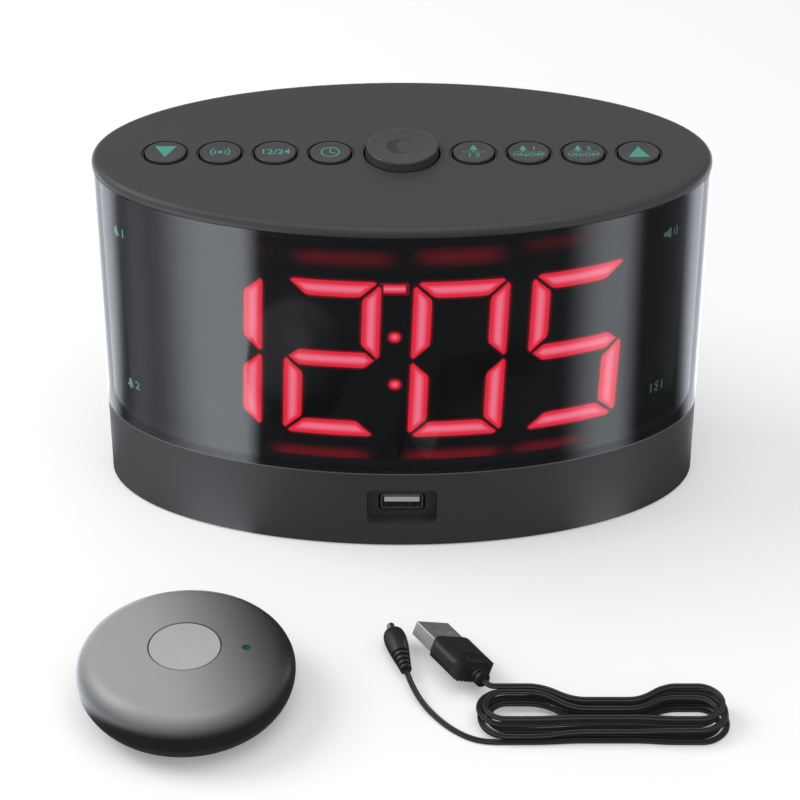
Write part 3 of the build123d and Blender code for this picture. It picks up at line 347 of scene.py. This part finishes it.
def studio():
    bpy.context.scene.view_settings.view_transform = "Standard"
    floor()
    world()
    lamp("lamp_left", (-0.75, 0.05, 0.75), target=(0, -0.04, 0.05), width=0.55, power=4.0)
    lamp("lamp_top", (0.10, -0.30, 1.10), target=(0, -0.05, 0.05), width=0.80, power=3.0)


# Charging lead

lobe_radius = 0.47 * mm
lobe_offset = 0.40 * mm
lobe_steps = 10
neck_angle = 0.55
lean_angle = radians(38.0)
lean_sway = 0.12
sway_length = 21 * mm
settle = 0.10 * mm
lying_height = 3.4 * mm
cord_sharpness = radians(60)
route_resolution = 5
cord_route = [Vector(p) * mm for p in (
    (1.2, -109.1, 3.5), (2.6, -115.2, 3.5), (6.2, -122.2, 1.5), (11.6, -129.4, 0.9),
    (17.4, -134.9, 0.9), (23.4, -137.8, 0.9), (30.3, -137.8, 0.9))]
hank_x = 58.4 * mm
hank_y = -129.4 * mm
hank_half_run = 28.1 * mm
hank_half_width = 8.4 * mm
hank_step = 2.5 * mm
hank_loops = 2
hank_layers = 4
hank_rise = 2.2 * mm
hank_floor_z = 0.9 * mm
hank_front_pull = 0.7 * mm
hank_rear_pull = 6.0 * mm
hank_waist_x = 2.0 * mm
hank_stray = 1.0 * mm
hank_stray_turn = 2.0
turn_steps = 4
link_leave = 0.08
link_bend = 0.36
usb_end = Vector((23.8, -118.3, 7.5)) * mm
usb_angle = radians(120.0)
lead_start = Vector((28.48, -121.0, 7.5)) * mm


def hank_runs():
    """Each long run: its side, its loop, and the layers that it starts and ends in."""
    loops = [(side, loop) for loop in range(hank_loops) for side in (-1, 1)]
    runs = []
    for layer in range(hank_layers):
        order = loops[::-1] if layer % 2 else loops
        for side, loop in order[1:] if layer else order:
            runs.append([side, loop, layer, layer])
        runs[-1][3] = layer + 1
    return runs[:-1]


def hank_height(layer):
    return hank_floor_z + hank_rise * layer


def hank_end(side, loop, layer, way):
    """Where a run meets the half turn at its end; way is 1 at the right and -1 at the left."""
    x = hank_x + way * hank_half_run + hank_stray * sin(hank_stray_turn * layer)
    return Vector((x, hank_y + side * (hank_half_width - hank_step * loop), hank_height(layer)))


def hank_middle(side, loop, layer):
    """Where the runs are drawn together."""
    pull = hank_front_pull if side < 0 else hank_rear_pull
    across = side * (hank_half_width - hank_step * loop - pull)
    return Vector((hank_x + hank_waist_x, hank_y + across, hank_height(layer)))


def turn_points(first, last, way):
    """Points round a half turn from first to last, set so that the curve keeps to the arc."""
    middle = (first + last) / 2
    step = pi / turn_steps
    radius = abs(first.y - last.y) / 2 / cos(step / 2)
    begin = 1 if first.y > last.y else -1
    return [Vector((middle.x + way * radius * sin(t), middle.y + begin * radius * cos(t), last.z))
            for t in ((k + 0.5) * step for k in range(turn_steps))]


def link_points(first, last):
    """Four points of a run that leaves and arrives along X."""
    leave = Vector(((last.x - first.x) * link_leave, 0, 0))
    bend = Vector(((last.x - first.x) * link_bend, 0, 0))
    return [first + leave, first + bend, last - bend, last - leave]


def hank_points():
    """The hank's control points, run after run, with a half turn between two runs."""
    points = []
    last = None
    for side, loop, low, high in hank_runs():
        way = -side
        first = hank_end(side, loop, low, -way)
        if last is not None:
            points += turn_points(last, first, -way)
        middle = hank_middle(side, loop, (low + high) / 2)
        end = hank_end(side, loop, high, way)
        points += link_points(first, middle) + link_points(middle, end)
        last = end
    return points


def lead_points():
    """From the hank's last run round a small bend into the flat plug."""
    back = Vector((-cos(usb_angle), -sin(usb_angle), 0))
    meet = (lead_start.y - usb_end.y) / back.y
    return [lead_start, usb_end + back * meet, usb_end]


def smooth_line(points):
    """The points of a smooth curve drawn by those control points."""
    curve = bpy.data.curves.new("route", "CURVE")
    curve.dimensions = "3D"
    curve.resolution_u = route_resolution
    spline = curve.splines.new("NURBS")
    spline.points.add(len(points) - 1)
    for point, place in zip(spline.points, points):
        point.co = (*place, 1.0)
    spline.order_u = 3
    spline.use_endpoint_u = True
    made = bpy.data.objects.new("route", curve)
    mesh = bpy.data.meshes.new_from_object(made)
    line = [v.co.copy() for v in mesh.vertices]
    bpy.data.meshes.remove(mesh)
    bpy.data.curves.remove(curve)
    return line


def twin_section():
    """Points round the two lobes of the flat twin cord."""
    neck = pi - neck_angle
    right = [(lobe_offset + lobe_radius * cos(t), lobe_radius * sin(t))
             for t in (neck * (2 * k / lobe_steps - 1) for k in range(lobe_steps + 1))]
    return right + [(-x, -y) for x, y in right]


def lean(far, heading):
    """How far the flat cord is turned about its run, by its distance and its heading along X."""
    return -lean_angle * heading + lean_sway * sin(far / sway_length)


def twin_ring(place, ahead, turn, section):
    """The section's points round one place of the cord."""
    side = ahead.cross(Vector((0, 0, 1))).normalized()
    up = side.cross(ahead)
    flat = side * cos(turn) + up * sin(turn)
    thin = up * cos(turn) - side * sin(turn)
    return [place + flat * u + thin * v for u, v in section]


def twin_tube(name, line, finish):
    """The flat twin cord along the line."""
    section = twin_section()
    points = []
    faces = []
    far = 0.0
    for i, place in enumerate(line):
        ahead = line[min(i + 1, len(line) - 1)] - line[max(i - 1, 0)]
        ahead.normalize()
        far += (place - line[max(i - 1, 0)]).length
        points += twin_ring(place, ahead, lean(far, ahead.x), section)
    count = len(section)
    for i in range(len(line) - 1):
        for k in range(count):
            a, b = i * count + k, i * count + (k + 1) % count
            faces.append((a, a + count, b + count, b))
    faces.append(tuple(range(count)))
    faces.append(tuple(reversed(range((len(line) - 1) * count, len(line) * count))))
    return smooth_piece(name, points, faces, finish)


def smooth_piece(name, points, faces, finish):
    """A mesh piece, smooth but for its sharp ends."""
    mesh = bpy.data.meshes.new(name)
    mesh.from_pydata([tuple(p) for p in points], [], faces)
    mesh.materials.append(finish.material)
    build = bmesh.new()
    build.from_mesh(mesh)
    bmesh.ops.recalc_face_normals(build, faces=build.faces)
    build.to_mesh(mesh)
    build.free()
    mesh.shade_smooth()
    mesh.set_sharp_from_angle(angle=cord_sharpness)
    return placed(name, mesh)


def charging_lead():
    """The cord from the round plug through the hank to the flat plug."""
    jacket = moulded("cord_jacket", (0.014, 0.014, 0.015), 0.40, 0.6 * mm, 0.006 * mm)
    line = smooth_line(cord_route[:-1] + hank_points() + lead_points())
    line = [p - Vector((0, 0, settle)) if p.z < lying_height else p for p in line]
    cord = twin_tube("charging_cord", line, jacket)
    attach(cord, "clock")
    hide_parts("cord_run", "cord_hank")


# Flat shapes that follow a curved surface, in millimetres

arc_step_degrees = 12
wedge_steps = 6
bell_steps = 8
weld_distance = 0.001 * mm
type_size = 1.4
type_weight = 0.02


class Shapes:
    """Flat shapes in millimetres, each a grid of points that can follow a curved surface."""

    def __init__(self):
        self.points = []
        self.cores = []
        self.faces = []

    def grid(self, columns):
        """Columns of (x, y, core) points, joined by faces."""
        start = len(self.points)
        tall = len(columns[0])
        for column in columns:
            for x, y, core in column:
                self.points.append((x, y))
                self.cores.append(core)
        for i in range(len(columns) - 1):
            for k in range(tall - 1):
                corner = start + i * tall + k
                self.faces.append((corner, corner + tall, corner + tall + 1, corner + 1))

    def arc(self, x, y, radius, width, first=0.0, last=360.0):
        """A band round an arc, or a disc where the band reaches the middle."""
        steps = max(int(abs(last - first) / arc_step_degrees), 3)
        columns = []
        for i in range(steps + 1):
            angle = radians(first + (last - first) * i / steps)
            column = []
            for k in range(3):
                r = radius + width * (k / 2 - 0.5)
                core = 1 - r / (radius + width / 2)
                column.append((x + r * cos(angle), y + r * sin(angle), core))
            columns.append(column)
        self.grid(columns)

    def disc(self, x, y, radius):
        self.arc(x, y, radius / 2, radius)

    def bar(self, x0, y0, x1, y1, width):
        """A straight stroke with square ends."""
        long = sqrt((x1 - x0) ** 2 + (y1 - y0) ** 2)
        side_x, side_y = (y0 - y1) / long * width / 2, (x1 - x0) / long * width / 2
        steps = max(int(long), 2)
        columns = []
        for i in range(steps + 1):
            x, y = x0 + (x1 - x0) * i / steps, y0 + (y1 - y0) * i / steps
            columns.append([(x + side_x * k, y + side_y * k, 1 - abs(k)) for k in (-1, 0, 1)])
        self.grid(columns)

    def line(self, points, width):
        for (x0, y0), (x1, y1) in zip(points, points[1:]):
            self.bar(x0, y0, x1, y1, width)

    def wedge(self, x, y, width, height):
        """A solid triangle that points up, or down where height is negative."""
        columns = []
        for i in range(wedge_steps + 1):
            share = i / wedge_steps
            rise = height * (share - 0.5)
            half = width / 2 * (1 - share)
            columns.append([(x + half * (k / 4 - 1), y + rise, 1.0) for k in range(9)])
        self.grid(columns)

    def bell(self, x, y, size):
        """A small bell: its dome, its skirt, its foot and its clapper."""
        columns = []
        for i in range(bell_steps + 1):
            share = i / bell_steps
            rise = y + size * (0.5 - share * 0.85)
            half = size * (0.06 + 0.22 * sqrt(share) + 0.20 * share ** 5)
            columns.append([(x - half, rise, 0.0), (x, rise, 1.0), (x + half, rise, 0.0)])
        self.grid(columns)
        self.disc(x, y - size * 0.5, size * 0.12)

    def words(self, text, x, y, height):
        """Plain figures and letters, centred on x and y."""
        curve = bpy.data.curves.new("figures", "FONT")
        curve.body = text
        curve.size = height * type_size
        curve.align_x = "CENTER"
        curve.align_y = "CENTER"
        curve.resolution_u = 3
        curve.offset = height * type_weight
        made = bpy.data.objects.new("figures", curve)
        mesh = bpy.data.meshes.new_from_object(made)
        start = len(self.points)
        for vertex in mesh.vertices:
            self.points.append((x + vertex.co.x, y + vertex.co.y))
            self.cores.append(1.0)
        self.faces += [tuple(start + v for v in face.vertices) for face in mesh.polygons]
        bpy.data.meshes.remove(mesh)
        bpy.data.curves.remove(curve)

    def laid(self, name, onto, into, finish):
        """A thin solid piece: onto sets each point on the surface, and into is its thickness."""
        mesh = bpy.data.meshes.new(name)
        mesh.from_pydata([tuple(onto(x, y) * mm) for x, y in self.points], [], self.faces)
        core = mesh.attributes.new("core", "FLOAT", "POINT")
        for value, share in zip(core.data, self.cores):
            value.value = share
        mesh.materials.append(finish.material)
        build = bmesh.new()
        build.from_mesh(mesh)
        bmesh.ops.remove_doubles(build, verts=build.verts, dist=weld_distance)
        bmesh.ops.dissolve_degenerate(build, edges=build.edges, dist=weld_distance)
        grown = bmesh.ops.extrude_face_region(build, geom=build.faces[:])
        moved = [part for part in grown["geom"] if isinstance(part, bmesh.types.BMVert)]
        bmesh.ops.translate(build, verts=moved, vec=into * mm)
        bmesh.ops.recalc_face_normals(build, faces=build.faces)
        build.to_mesh(mesh)
        build.free()
        return placed(name, mesh)


# Lit display, in millimetres

segment_steps = 18
across_steps = 6
digit_width = 29.0
digit_height = 57.0
digit_mid_z = 66.0
stroke = 5.6
segment_gap = 1.7
segment_tip = 2.1
slant = radians(2.0)
colon_x = -2.2
colon_radius = 1.7
colon_rise = 8.75
morning_mark_z = 92.2
morning_mark_width = 6.6
morning_mark_height = 3.0
outer_digit_offset = 55.3
inner_digit_offset = 19.4
lit_proud = 0.02
lit_depth = 1.0
halo_reach = 1.1
halo_proud = 0.01
halo_depth = 0.006
core_span = (0.25, 0.95)
halo_span = (0.0, 0.34)
unlit = (0.0, 0.0, 0.0)
rim_red = (2.3, 0.05, 0.13)
core_pink = (2.7, 0.52, 0.80)
halo_red = (0.55, 0.010, 0.03)
# Colour of the painted reflections of the digits on the panel
digit_reflection_red = (1.6, 0.03, 0.07)


def digits():
    """Each digit's place along X and the segments that show the time 12:05."""
    return [
        (colon_x - outer_digit_offset, "bc"), (colon_x - inner_digit_offset, "abged"),
        (colon_x + inner_digit_offset, "abcdef"), (colon_x + outer_digit_offset, "afgcd"),
    ]


def segment_places():
    """Each lit segment's digit, middle, turn, length and tip, as in the model."""
    across = (digit_width - stroke) / 2
    up = (digit_height - stroke) / 2
    mid = (up + segment_tip) / 2
    flat = 2 * (across + segment_tip) - segment_gap
    tall = up + segment_tip - segment_gap
    places = {
        "a": (0, up, 0, flat, segment_tip), "g": (0, 0, 0, flat, 0),
        "d": (0, -up, 180, flat, segment_tip), "f": (-across, mid, 90, tall, segment_tip),
        "b": (across, mid, -90, tall, segment_tip), "e": (-across, -mid, 90, tall, segment_tip),
        "c": (across, -mid, -90, tall, segment_tip),
    }
    return [(digit_x, *places[name]) for digit_x, names in digits() for name in names]


def add_segment(shapes, digit_x, x, y, turn, length, tip, grow):
    """One segment with mitred ends; its core runs from 0 at its edge to 1 inside."""
    half = stroke / 2 + grow
    end = length / 2 + grow
    c, s = cos(radians(turn)), sin(radians(turn))
    columns = []
    for i in range(segment_steps + 1):
        u = end * sin((i / segment_steps - 0.5) * pi)
        near = end - abs(u)
        high = min(half, tip + near)
        low = max(-half, tip - near)
        column = []
        for k in range(across_steps + 1):
            v = low + (high - low) * k / across_steps
            core = min(high - v, v - low, near) / half
            right, rise = x + u * c - v * s, y + u * s + v * c
            column.append((digit_x + right + rise * tan(slant), digit_mid_z + rise, core))
        columns.append(column)
    shapes.grid(columns)


def lit_shapes(grow):
    shapes = Shapes()
    for place in segment_places():
        add_segment(shapes, *place, grow)
    for rise in (colon_rise, -colon_rise):
        shapes.disc(colon_x, digit_mid_z + rise, colon_radius + grow)
    half = morning_mark_width / 2 + grow
    shapes.bar(colon_x - half, morning_mark_z, colon_x + half, morning_mark_z,
               morning_mark_height + grow * 2)
    return shapes


def on_panel(proud):
    """Sets a point on the display panel's curved front, proud of it by that much."""
    return lambda x, z: Vector((x, oval_y(x, panel_inset) - proud, z))


def lit_piece(name, grow, proud, depth, finish):
    """The display's lit shapes. They light nothing else, so that only the eye sees them."""
    made = lit_shapes(grow).laid(name, on_panel(proud), Vector((0, depth, 0)), finish)
    made.visible_diffuse = False
    made.visible_glossy = False
    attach(made, "clock")
    return made


def lit_display():
    """The lit segments, pink inside and red at the rim, with a faint glow around each."""
    lit = Finish("segment_lit", (0.30, 0.01, 0.02), 0.5)
    lit.glow(lit.own("core").smooth(*core_span), rim_red, core_pink)
    glow = Finish("segment_glow", (0.02, 0.004, 0.005), 0.6)
    glow.glow(glow.own("core").smooth(*halo_span), unlit, halo_red)
    digits_lit = lit_piece("lit_digits", 0.0, lit_proud, lit_depth, lit)
    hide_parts("lit_segments")
    lit_piece("digit_glow", halo_reach, halo_proud, halo_depth, glow)


# Printed marks, in millimetres

print_lift = 0.03
print_depth = 0.025
key_row_y = -0.6
key_pitch = 16.8
first_key_x = 21.9
key_top = 118.0
key_dish = 0.2
key_dish_radius = 5.25
snooze_top = 120.2
snooze_dish = 0.3
snooze_dish_radius = 9.9
rule_width = 0.22
line_width = 0.42
sound_line_width = 0.4
shaking_line_width = 0.45
figure_height = 2.2
small_figure_height = 1.95
moon_steps = 24
moon_span = radians(256)
moon_x = -0.3
moon_radius = 4.4
moon_shift = 1.5
moon_hollow_x = 3.0
moon_hollow_y = 4.1
ink_grain = 0.3 * mm
ink_depth = 0.002 * mm


def key_legends():
    """A mark for each key: its name, its place along X and its shapes."""
    legends = {}
    for number, name in enumerate(("time", "hour_format", "pairing", "down")):
        legends[name] = (-first_key_x - key_pitch * number, Shapes())
    for number, name in enumerate(("alarm_set", "alarm_1", "alarm_2", "up")):
        legends[name] = (first_key_x + key_pitch * number, Shapes())
    legends["down"][1].wedge(0, 0.2, 6.6, -6.4)
    legends["up"][1].wedge(0, 0.2, 6.6, 6.4)
    waves = legends["pairing"][1]
    waves.disc(0, 0, 0.75)
    for radius in (1.7, 2.9):
        for first in (-45, 135):
            waves.arc(0, 0, radius, line_width, first, first + 90)
    legends["hour_format"][1].words("12/24", 0, 0, 2.9)
    face = legends["time"][1]
    face.arc(0, 0, 2.7, line_width)
    face.line([(0, 1.9), (0, 0), (1.5, -0.9)], line_width)
    both = legends["alarm_set"][1]
    both.bell(0, 2.3, 3.2)
    both.bar(-3.6, 0.0, 3.6, 0.0, rule_width)
    both.words("1 2", 0, -2.0, figure_height)
    for number in ("1", "2"):
        alarm = legends["alarm_" + number][1]
        alarm.bell(-1.7, 2.1, 3.0)
        alarm.words(number, 1.7, 2.1, figure_height)
        alarm.bar(-4.2, 0.0, 4.2, 0.0, rule_width)
        alarm.words("ON/OFF", 0, -1.8, small_figure_height)
    return legends


def dished(x, top, dish, reach):
    """Sets a mark's point on a key's dished top."""
    def onto(u, v):
        share = min((u * u + v * v) / reach ** 2, 1.0)
        return Vector((x + u, key_row_y + v, top - dish * (1 - share) + print_lift))
    return onto


def print_keys():
    """The teal marks on the eight small keys."""
    ink = moulded("teal_ink", (0.060, 0.30, 0.24), 0.5, ink_grain, ink_depth, 0.1)
    for name, (x, shapes) in key_legends().items():
        onto = dished(x, key_top, key_dish, key_dish_radius)
        made = shapes.laid(name + "_legend", onto, Vector((0, 0, -print_depth)), ink)
        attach(made, name + "_key")


def print_snooze():
    """A crescent on the large key, dark on dark."""
    dark = moulded("snooze_ink", (0.012, 0.012, 0.013), 0.35, ink_grain, ink_depth)
    columns = []
    for i in range(moon_steps + 1):
        angle = moon_span * (i / moon_steps - 0.5)
        outer = Vector((-cos(angle), sin(angle))) * moon_radius
        inner = Vector((moon_shift - cos(angle) * moon_hollow_x, sin(angle) * moon_hollow_y))
        columns.append([(*outer, 0.0), (*((outer + inner) / 2), 1.0), (*inner, 0.0)])
    moon = Shapes()
    moon.grid(columns)
    onto = dished(moon_x, snooze_top, snooze_dish, snooze_dish_radius)
    made = moon.laid("snooze_legend", onto, Vector((0, 0, -print_depth)), dark)
    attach(made, "snooze_key")


def window_marks():
    """Each window mark's name, its shapes and its place along X and Z."""
    marks = []
    for number, x, z in (("1", -85.9, 100.6), ("2", -84.2, 45.5)):
        alarm = Shapes()
        alarm.bell(-1.5, 0, 3.6)
        alarm.words(number, 1.6, 0, 3.0)
        marks.append(("alarm_" + number + "_window_mark", alarm, x, z))
    sound = Shapes()
    sound.grid([[(x, -half, 0), (x, 0, 1), (x, half, 0)]
                for x, half in ((-2.6, 0.8), (-1.4, 0.8), (0.2, 2.0))])
    for radius in (1.4, 2.6):
        sound.arc(0.2, 0, radius, sound_line_width, -40, 40)
    marks.append(("sound_window_mark", sound, 81.1, 103.3))
    shaking = Shapes()
    zigzag = [(0.7, 1.9), (-0.7, 1.0), (0.7, 0), (-0.7, -1.0), (0.7, -1.9)]
    shaking.line(zigzag, shaking_line_width)
    for x in (-2.2, 2.2):
        shaking.bar(x, -1.7, x, 1.7, shaking_line_width)
    marks.append(("shaking_window_mark", shaking, 79.6, 47.4))
    return marks


def on_window(place, out):
    """Sets a mark's point on the window's curved front, round that place."""
    along = Vector((-out.y, out.x, 0))

    def onto(u, v):
        at = place + along * u
        stretch = sqrt((at.x / half_width) ** 2 + (at.y / half_depth) ** 2)
        return Vector((at.x / stretch, at.y / stretch, place.z + v)) + out * print_lift

    return onto


def print_window():
    """Small marks on the window: two alarms at the left, sound and shaking at the right."""
    left = moulded("window_ink_left", (0.11, 0.27, 0.27), 0.4, ink_grain, ink_depth)
    right = moulded("window_ink_right", (0.060, 0.13, 0.11), 0.4, ink_grain, ink_depth)
    for name, shapes, x, z in window_marks():
        place = Vector((x, oval_y(x), z))
        out = Vector((x / half_width ** 2, place.y / half_depth ** 2, 0)).normalized()
        ink = left if x < 0 else right
        made = shapes.laid(name, on_window(place, out), out * -print_depth, ink)
        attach(made, "clock")


# Painted highlight along the seam under the window, in millimetres

seam_band = 0.30
seam_steps = 120
seam_proud = 0.02
seam_depth = 0.10
seam_half_span = 88


def seam_highlight():
    """A painted highlight on the base's upper edge, along the seam under the window."""
    # Painted highlight: a pale strip where the edge catches the light
    finish = moulded("seam_highlight_plastic", (0.15, 0.15, 0.152), 0.42)
    rim = Shapes()
    columns = []
    for i in range(seam_steps + 1):
        x = half_width * sin(radians(seam_half_span * (2 * i / seam_steps - 1)))
        columns.append([(x, seam_height - seam_band, 0.0), (x, seam_height, 0.0)])
    rim.grid(columns)
    made = rim.laid("seam_highlight", lambda x, z: Vector((x, oval_y(x) - seam_proud, z)),
                    Vector((0, seam_depth, 0)), finish)
    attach(made, "clock")


# Beads round the key holes in millimetres, by Geometry Nodes

class Growth:
    """A Geometry Nodes tree with named inputs."""

    def __init__(self, name, sizes):
        self.tree = bpy.data.node_groups.new(name, "GeometryNodeTree")
        face = self.tree.interface
        face.new_socket("Geometry", in_out="INPUT", socket_type="NodeSocketGeometry")
        self.keys = {}
        for size in sizes:
            made = face.new_socket(size, in_out="INPUT", socket_type="NodeSocketFloat")
            self.keys[size] = made.identifier
        face.new_socket("Geometry", in_out="OUTPUT", socket_type="NodeSocketGeometry")
        self.given = self.tree.nodes.new("NodeGroupInput").outputs

    def node(self, kind, sockets):
        """Adds a node with the values or links of its sockets. Returns its first output."""
        made = self.tree.nodes.new("GeometryNode" + kind)
        for name, value in sockets.items():
            if isinstance(value, bpy.types.NodeSocket):
                self.tree.links.new(value, made.inputs[name])
            else:
                made.inputs[name].default_value = value
        return made.outputs[0]

    def finish(self, geometry):
        made = self.tree.nodes.new("NodeGroupOutput")
        self.tree.links.new(geometry, made.inputs[0])

    def grown(self, name, points, sizes):
        """The plain mesh piece that the tree makes from those points."""
        mesh = bpy.data.meshes.new(name + "_points")
        mesh.from_pydata([tuple(p) for p in points], [], [])
        seed = placed(name + "_points", mesh)
        modifier = seed.modifiers.new("growth", "NODES")
        modifier.node_group = self.tree
        for size, value in sizes.items():
            modifier[self.keys[size]] = value
        seen = seed.evaluated_get(bpy.context.evaluated_depsgraph_get())
        plain = bpy.data.meshes.new_from_object(seen)
        plain.shade_smooth()
        bpy.data.objects.remove(seed)
        bpy.data.meshes.remove(mesh)
        return placed(name, plain)


ring_width = 0.7
key_hole_radius = 6.75
snooze_hole_radius = 11.9
bead_radius = 0.16
bead_sink = 0.06
bead_steps = 72
bead_section_steps = 10


def hole_beads(finish):
    """The rounded bead round each stepped key hole in the lid."""
    growth = Growth("hole_beads", ["Ring Radius", "Bead Radius"])
    ring_radius, bead_size = growth.given["Ring Radius"], growth.given["Bead Radius"]
    ring = growth.node("CurvePrimitiveCircle", {"Resolution": bead_steps, "Radius": ring_radius})
    section = growth.node("CurvePrimitiveCircle",
                          {"Resolution": bead_section_steps, "Radius": bead_size})
    bead = growth.node("CurveToMesh", {"Curve": ring, "Profile Curve": section})
    spots = growth.node("MeshToPoints", {"Mesh": growth.given["Geometry"]})
    beads = growth.node("InstanceOnPoints", {"Points": spots, "Instance": bead})
    whole = growth.node("RealizeInstances", {"Geometry": beads})
    growth.finish(growth.node("SetMaterial", {"Geometry": whole, "Material": finish.material}))
    xs = [side * (first_key_x + key_pitch * k) for k in range(4) for side in (-1, 1)]
    for name, places, radius in (("key_hole_beads", xs, key_hole_radius),
                                 ("snooze_hole_bead", [0.0], snooze_hole_radius)):
        points = [Vector((x, key_row_y, case_height - bead_sink)) * mm for x in places]
        sizes = {"Ring Radius": (radius + ring_width) * mm, "Bead Radius": bead_radius * mm}
        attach(growth.grown(name, points, sizes), "clock")


# Finishes of the CAD nodes

# Painted red reflections of the digits inside the window: spans along X and Z in millimetres, and
# strength
digit_reflection_streaks = [
    (-31, -4, 100.5, 104.5, 0.15), (6, 29, 101.0, 105.5, 0.17), (38, 56, 103.5, 107.0, 0.08),
    (-47, -42, 102.0, 105.0, 0.06), (-39, -12, 28.5, 31.5, 0.30), (3, 29, 28.5, 31.5, 0.34),
    (36, 56, 29.0, 31.5, 0.26),
]
streak_blur_x = 5 * mm
streak_blur_z = 2.4 * mm
case_grain = 0.28 * mm
case_grain_depth = 0.010 * mm
window_wave = 30 * mm
window_wave_depth = 0.008 * mm
puck_grain = 0.30 * mm
puck_grain_depth = 0.008 * mm
# Painted highlight on the puck's top: its lean, its span along X and its height
puck_highlight_lean = 0.25
puck_highlight_span = (-106 * mm, -56 * mm)
puck_highlight_height = (13 * mm, 20.5 * mm)


def dress_case():
    case = moulded("case_plastic", (0.036, 0.036, 0.037), 0.50, case_grain, case_grain_depth)
    dress(case, "lid", "rear_cover")
    base = moulded("base_plastic", (0.040, 0.040, 0.041), 0.70, case_grain, case_grain_depth)
    dress(base, "base_shell")
    hole_beads(case)
    keys = moulded("key_plastic", (0.040, 0.038, 0.040), 0.28, 0.4 * mm, 0.004 * mm)
    dress(keys, *[n for n in nodes if n.endswith("_button") and n != "puck_button"])
    rubber = moulded("foot_rubber", (0.03, 0.03, 0.03), 0.8, 0.5 * mm, 0.02 * mm)
    dress(rubber, "foot_ring", "puck_foot")


def dress_window():
    """Smoked glass that is clear enough to show the digits."""
    smoke = Finish("window_smoke", (0.006, 0.007, 0.009), 0.07, Alpha=0.45, Specular_IOR_Level=1.0)
    smoke.bump(smoke.noise(window_wave, 1.0), window_wave_depth)
    dress(smoke, "front_window")


def dress_display():
    """The black panel with a painted glow of the digits' red reflections above and below them."""
    panel = moulded("panel_black", (0.012, 0.011, 0.012), 0.62, 0.6 * mm, 0.003 * mm)
    across, up = panel.along("X"), panel.along("Z")
    light = 0.0
    for left, right, low, high, power in digit_reflection_streaks:
        span = across.within(left * mm, right * mm, streak_blur_x)
        light = span * up.within(low * mm, high * mm, streak_blur_z) * power + light
    # Painted reflections: the panel glows red where the digits are mirrored
    panel.glow(light, unlit, digit_reflection_red)
    dress(panel, "display_panel")
    dress(moulded("segment_dark", (0.014, 0.011, 0.012), 0.5), "unlit_segments")


def dress_puck():
    """Satin plastic with a painted highlight towards the top's left side, and a grainy grey
    button.
    """
    puck = moulded("puck_plastic", (0.022, 0.022, 0.023), 0.36, puck_grain, puck_grain_depth)
    # Painted highlight: the top is paler towards its left side
    across = puck.along("X") + puck.along("Y") * puck_highlight_lean
    left = 1 - across.smooth(*puck_highlight_span)
    top = puck.along("Z").smooth(*puck_highlight_height)
    puck.set("Base Color", puck.mixed(left * top, (0.014, 0.014, 0.015), (0.36, 0.36, 0.365)))
    dress(puck, "puck_top")
    low = moulded("puck_low_plastic", (0.024, 0.024, 0.025), 0.36, puck_grain, puck_grain_depth)
    dress(low, "puck_bottom")
    grey = moulded("puck_key_plastic", (0.44, 0.44, 0.445), 0.55, 0.35 * mm, 0.05 * mm, 0.22)
    dress(grey, "puck_button")
    dress(moulded("lamp_green", (0.01, 0.10, 0.06), 0.2), "puck_lamp")


def dress_metals():
    zinc = metal("zinc_screw", (0.60, 0.60, 0.62), 0.35)
    dress(zinc, "case_screws", "board_screws", "puck_screws")
    nickel = metal("nickel_plate", (0.62, 0.62, 0.63), 0.28)
    dress(nickel, "jack_plug_barrel", "usb_socket_shell", "cell_contact",
          "coin_cell", "radio_can", "motor_can", "speaker_frame")
    dress(metal("plug_steel", (0.72, 0.72, 0.73), 0.50), "usb_plug_shell")
    dress(metal("gold_plate", (0.85, 0.62, 0.25), 0.25), "usb_socket_contacts")
    dress(metal("brass", (0.72, 0.52, 0.24), 0.32), "motor_weight")
    dress(metal("copper_wire", (0.80, 0.42, 0.26), 0.34), "aerial")


def dress_plastics():
    plug = moulded("plug_plastic", (0.022, 0.022, 0.023), 0.40, 0.5 * mm, 0.01 * mm)
    dress(plug, "jack_plug_body", "usb_plug_body")
    inner = moulded("inner_black", (0.018, 0.018, 0.019), 0.5, 0.4 * mm, 0.008 * mm)
    dress(inner, "battery_door", "cell_holder", "power_jack", "puck_jack", "motor_bracket",
          "key_switches", "puck_switch")
    pale = moulded("white_plastic", (0.72, 0.72, 0.70), 0.5)
    dress(pale, "usb_socket_tongue", "usb_plug_tongue", "light_box", "display_leds")
    board = moulded("board_green", (0.02, 0.12, 0.05), 0.35)
    dress(board, "key_board", "display_board", "main_board", "radio_board", "puck_board")
    dress(moulded("cone_paper", (0.05, 0.047, 0.043), 0.9), "speaker_cone")
    dress(moulded("ribbon_grey", (0.42, 0.42, 0.44), 0.5), "key_ribbon", "display_ribbon")
    dress(moulded("battery_foil", (0.5, 0.5, 0.52), 0.35), "puck_battery")


camera()
studio()
charging_lead()
lit_display()
print_keys()
print_snooze()
print_window()
seam_highlight()
dress_case()
dress_window()
dress_display()
dress_puck()
dress_metals()
dress_plastics()
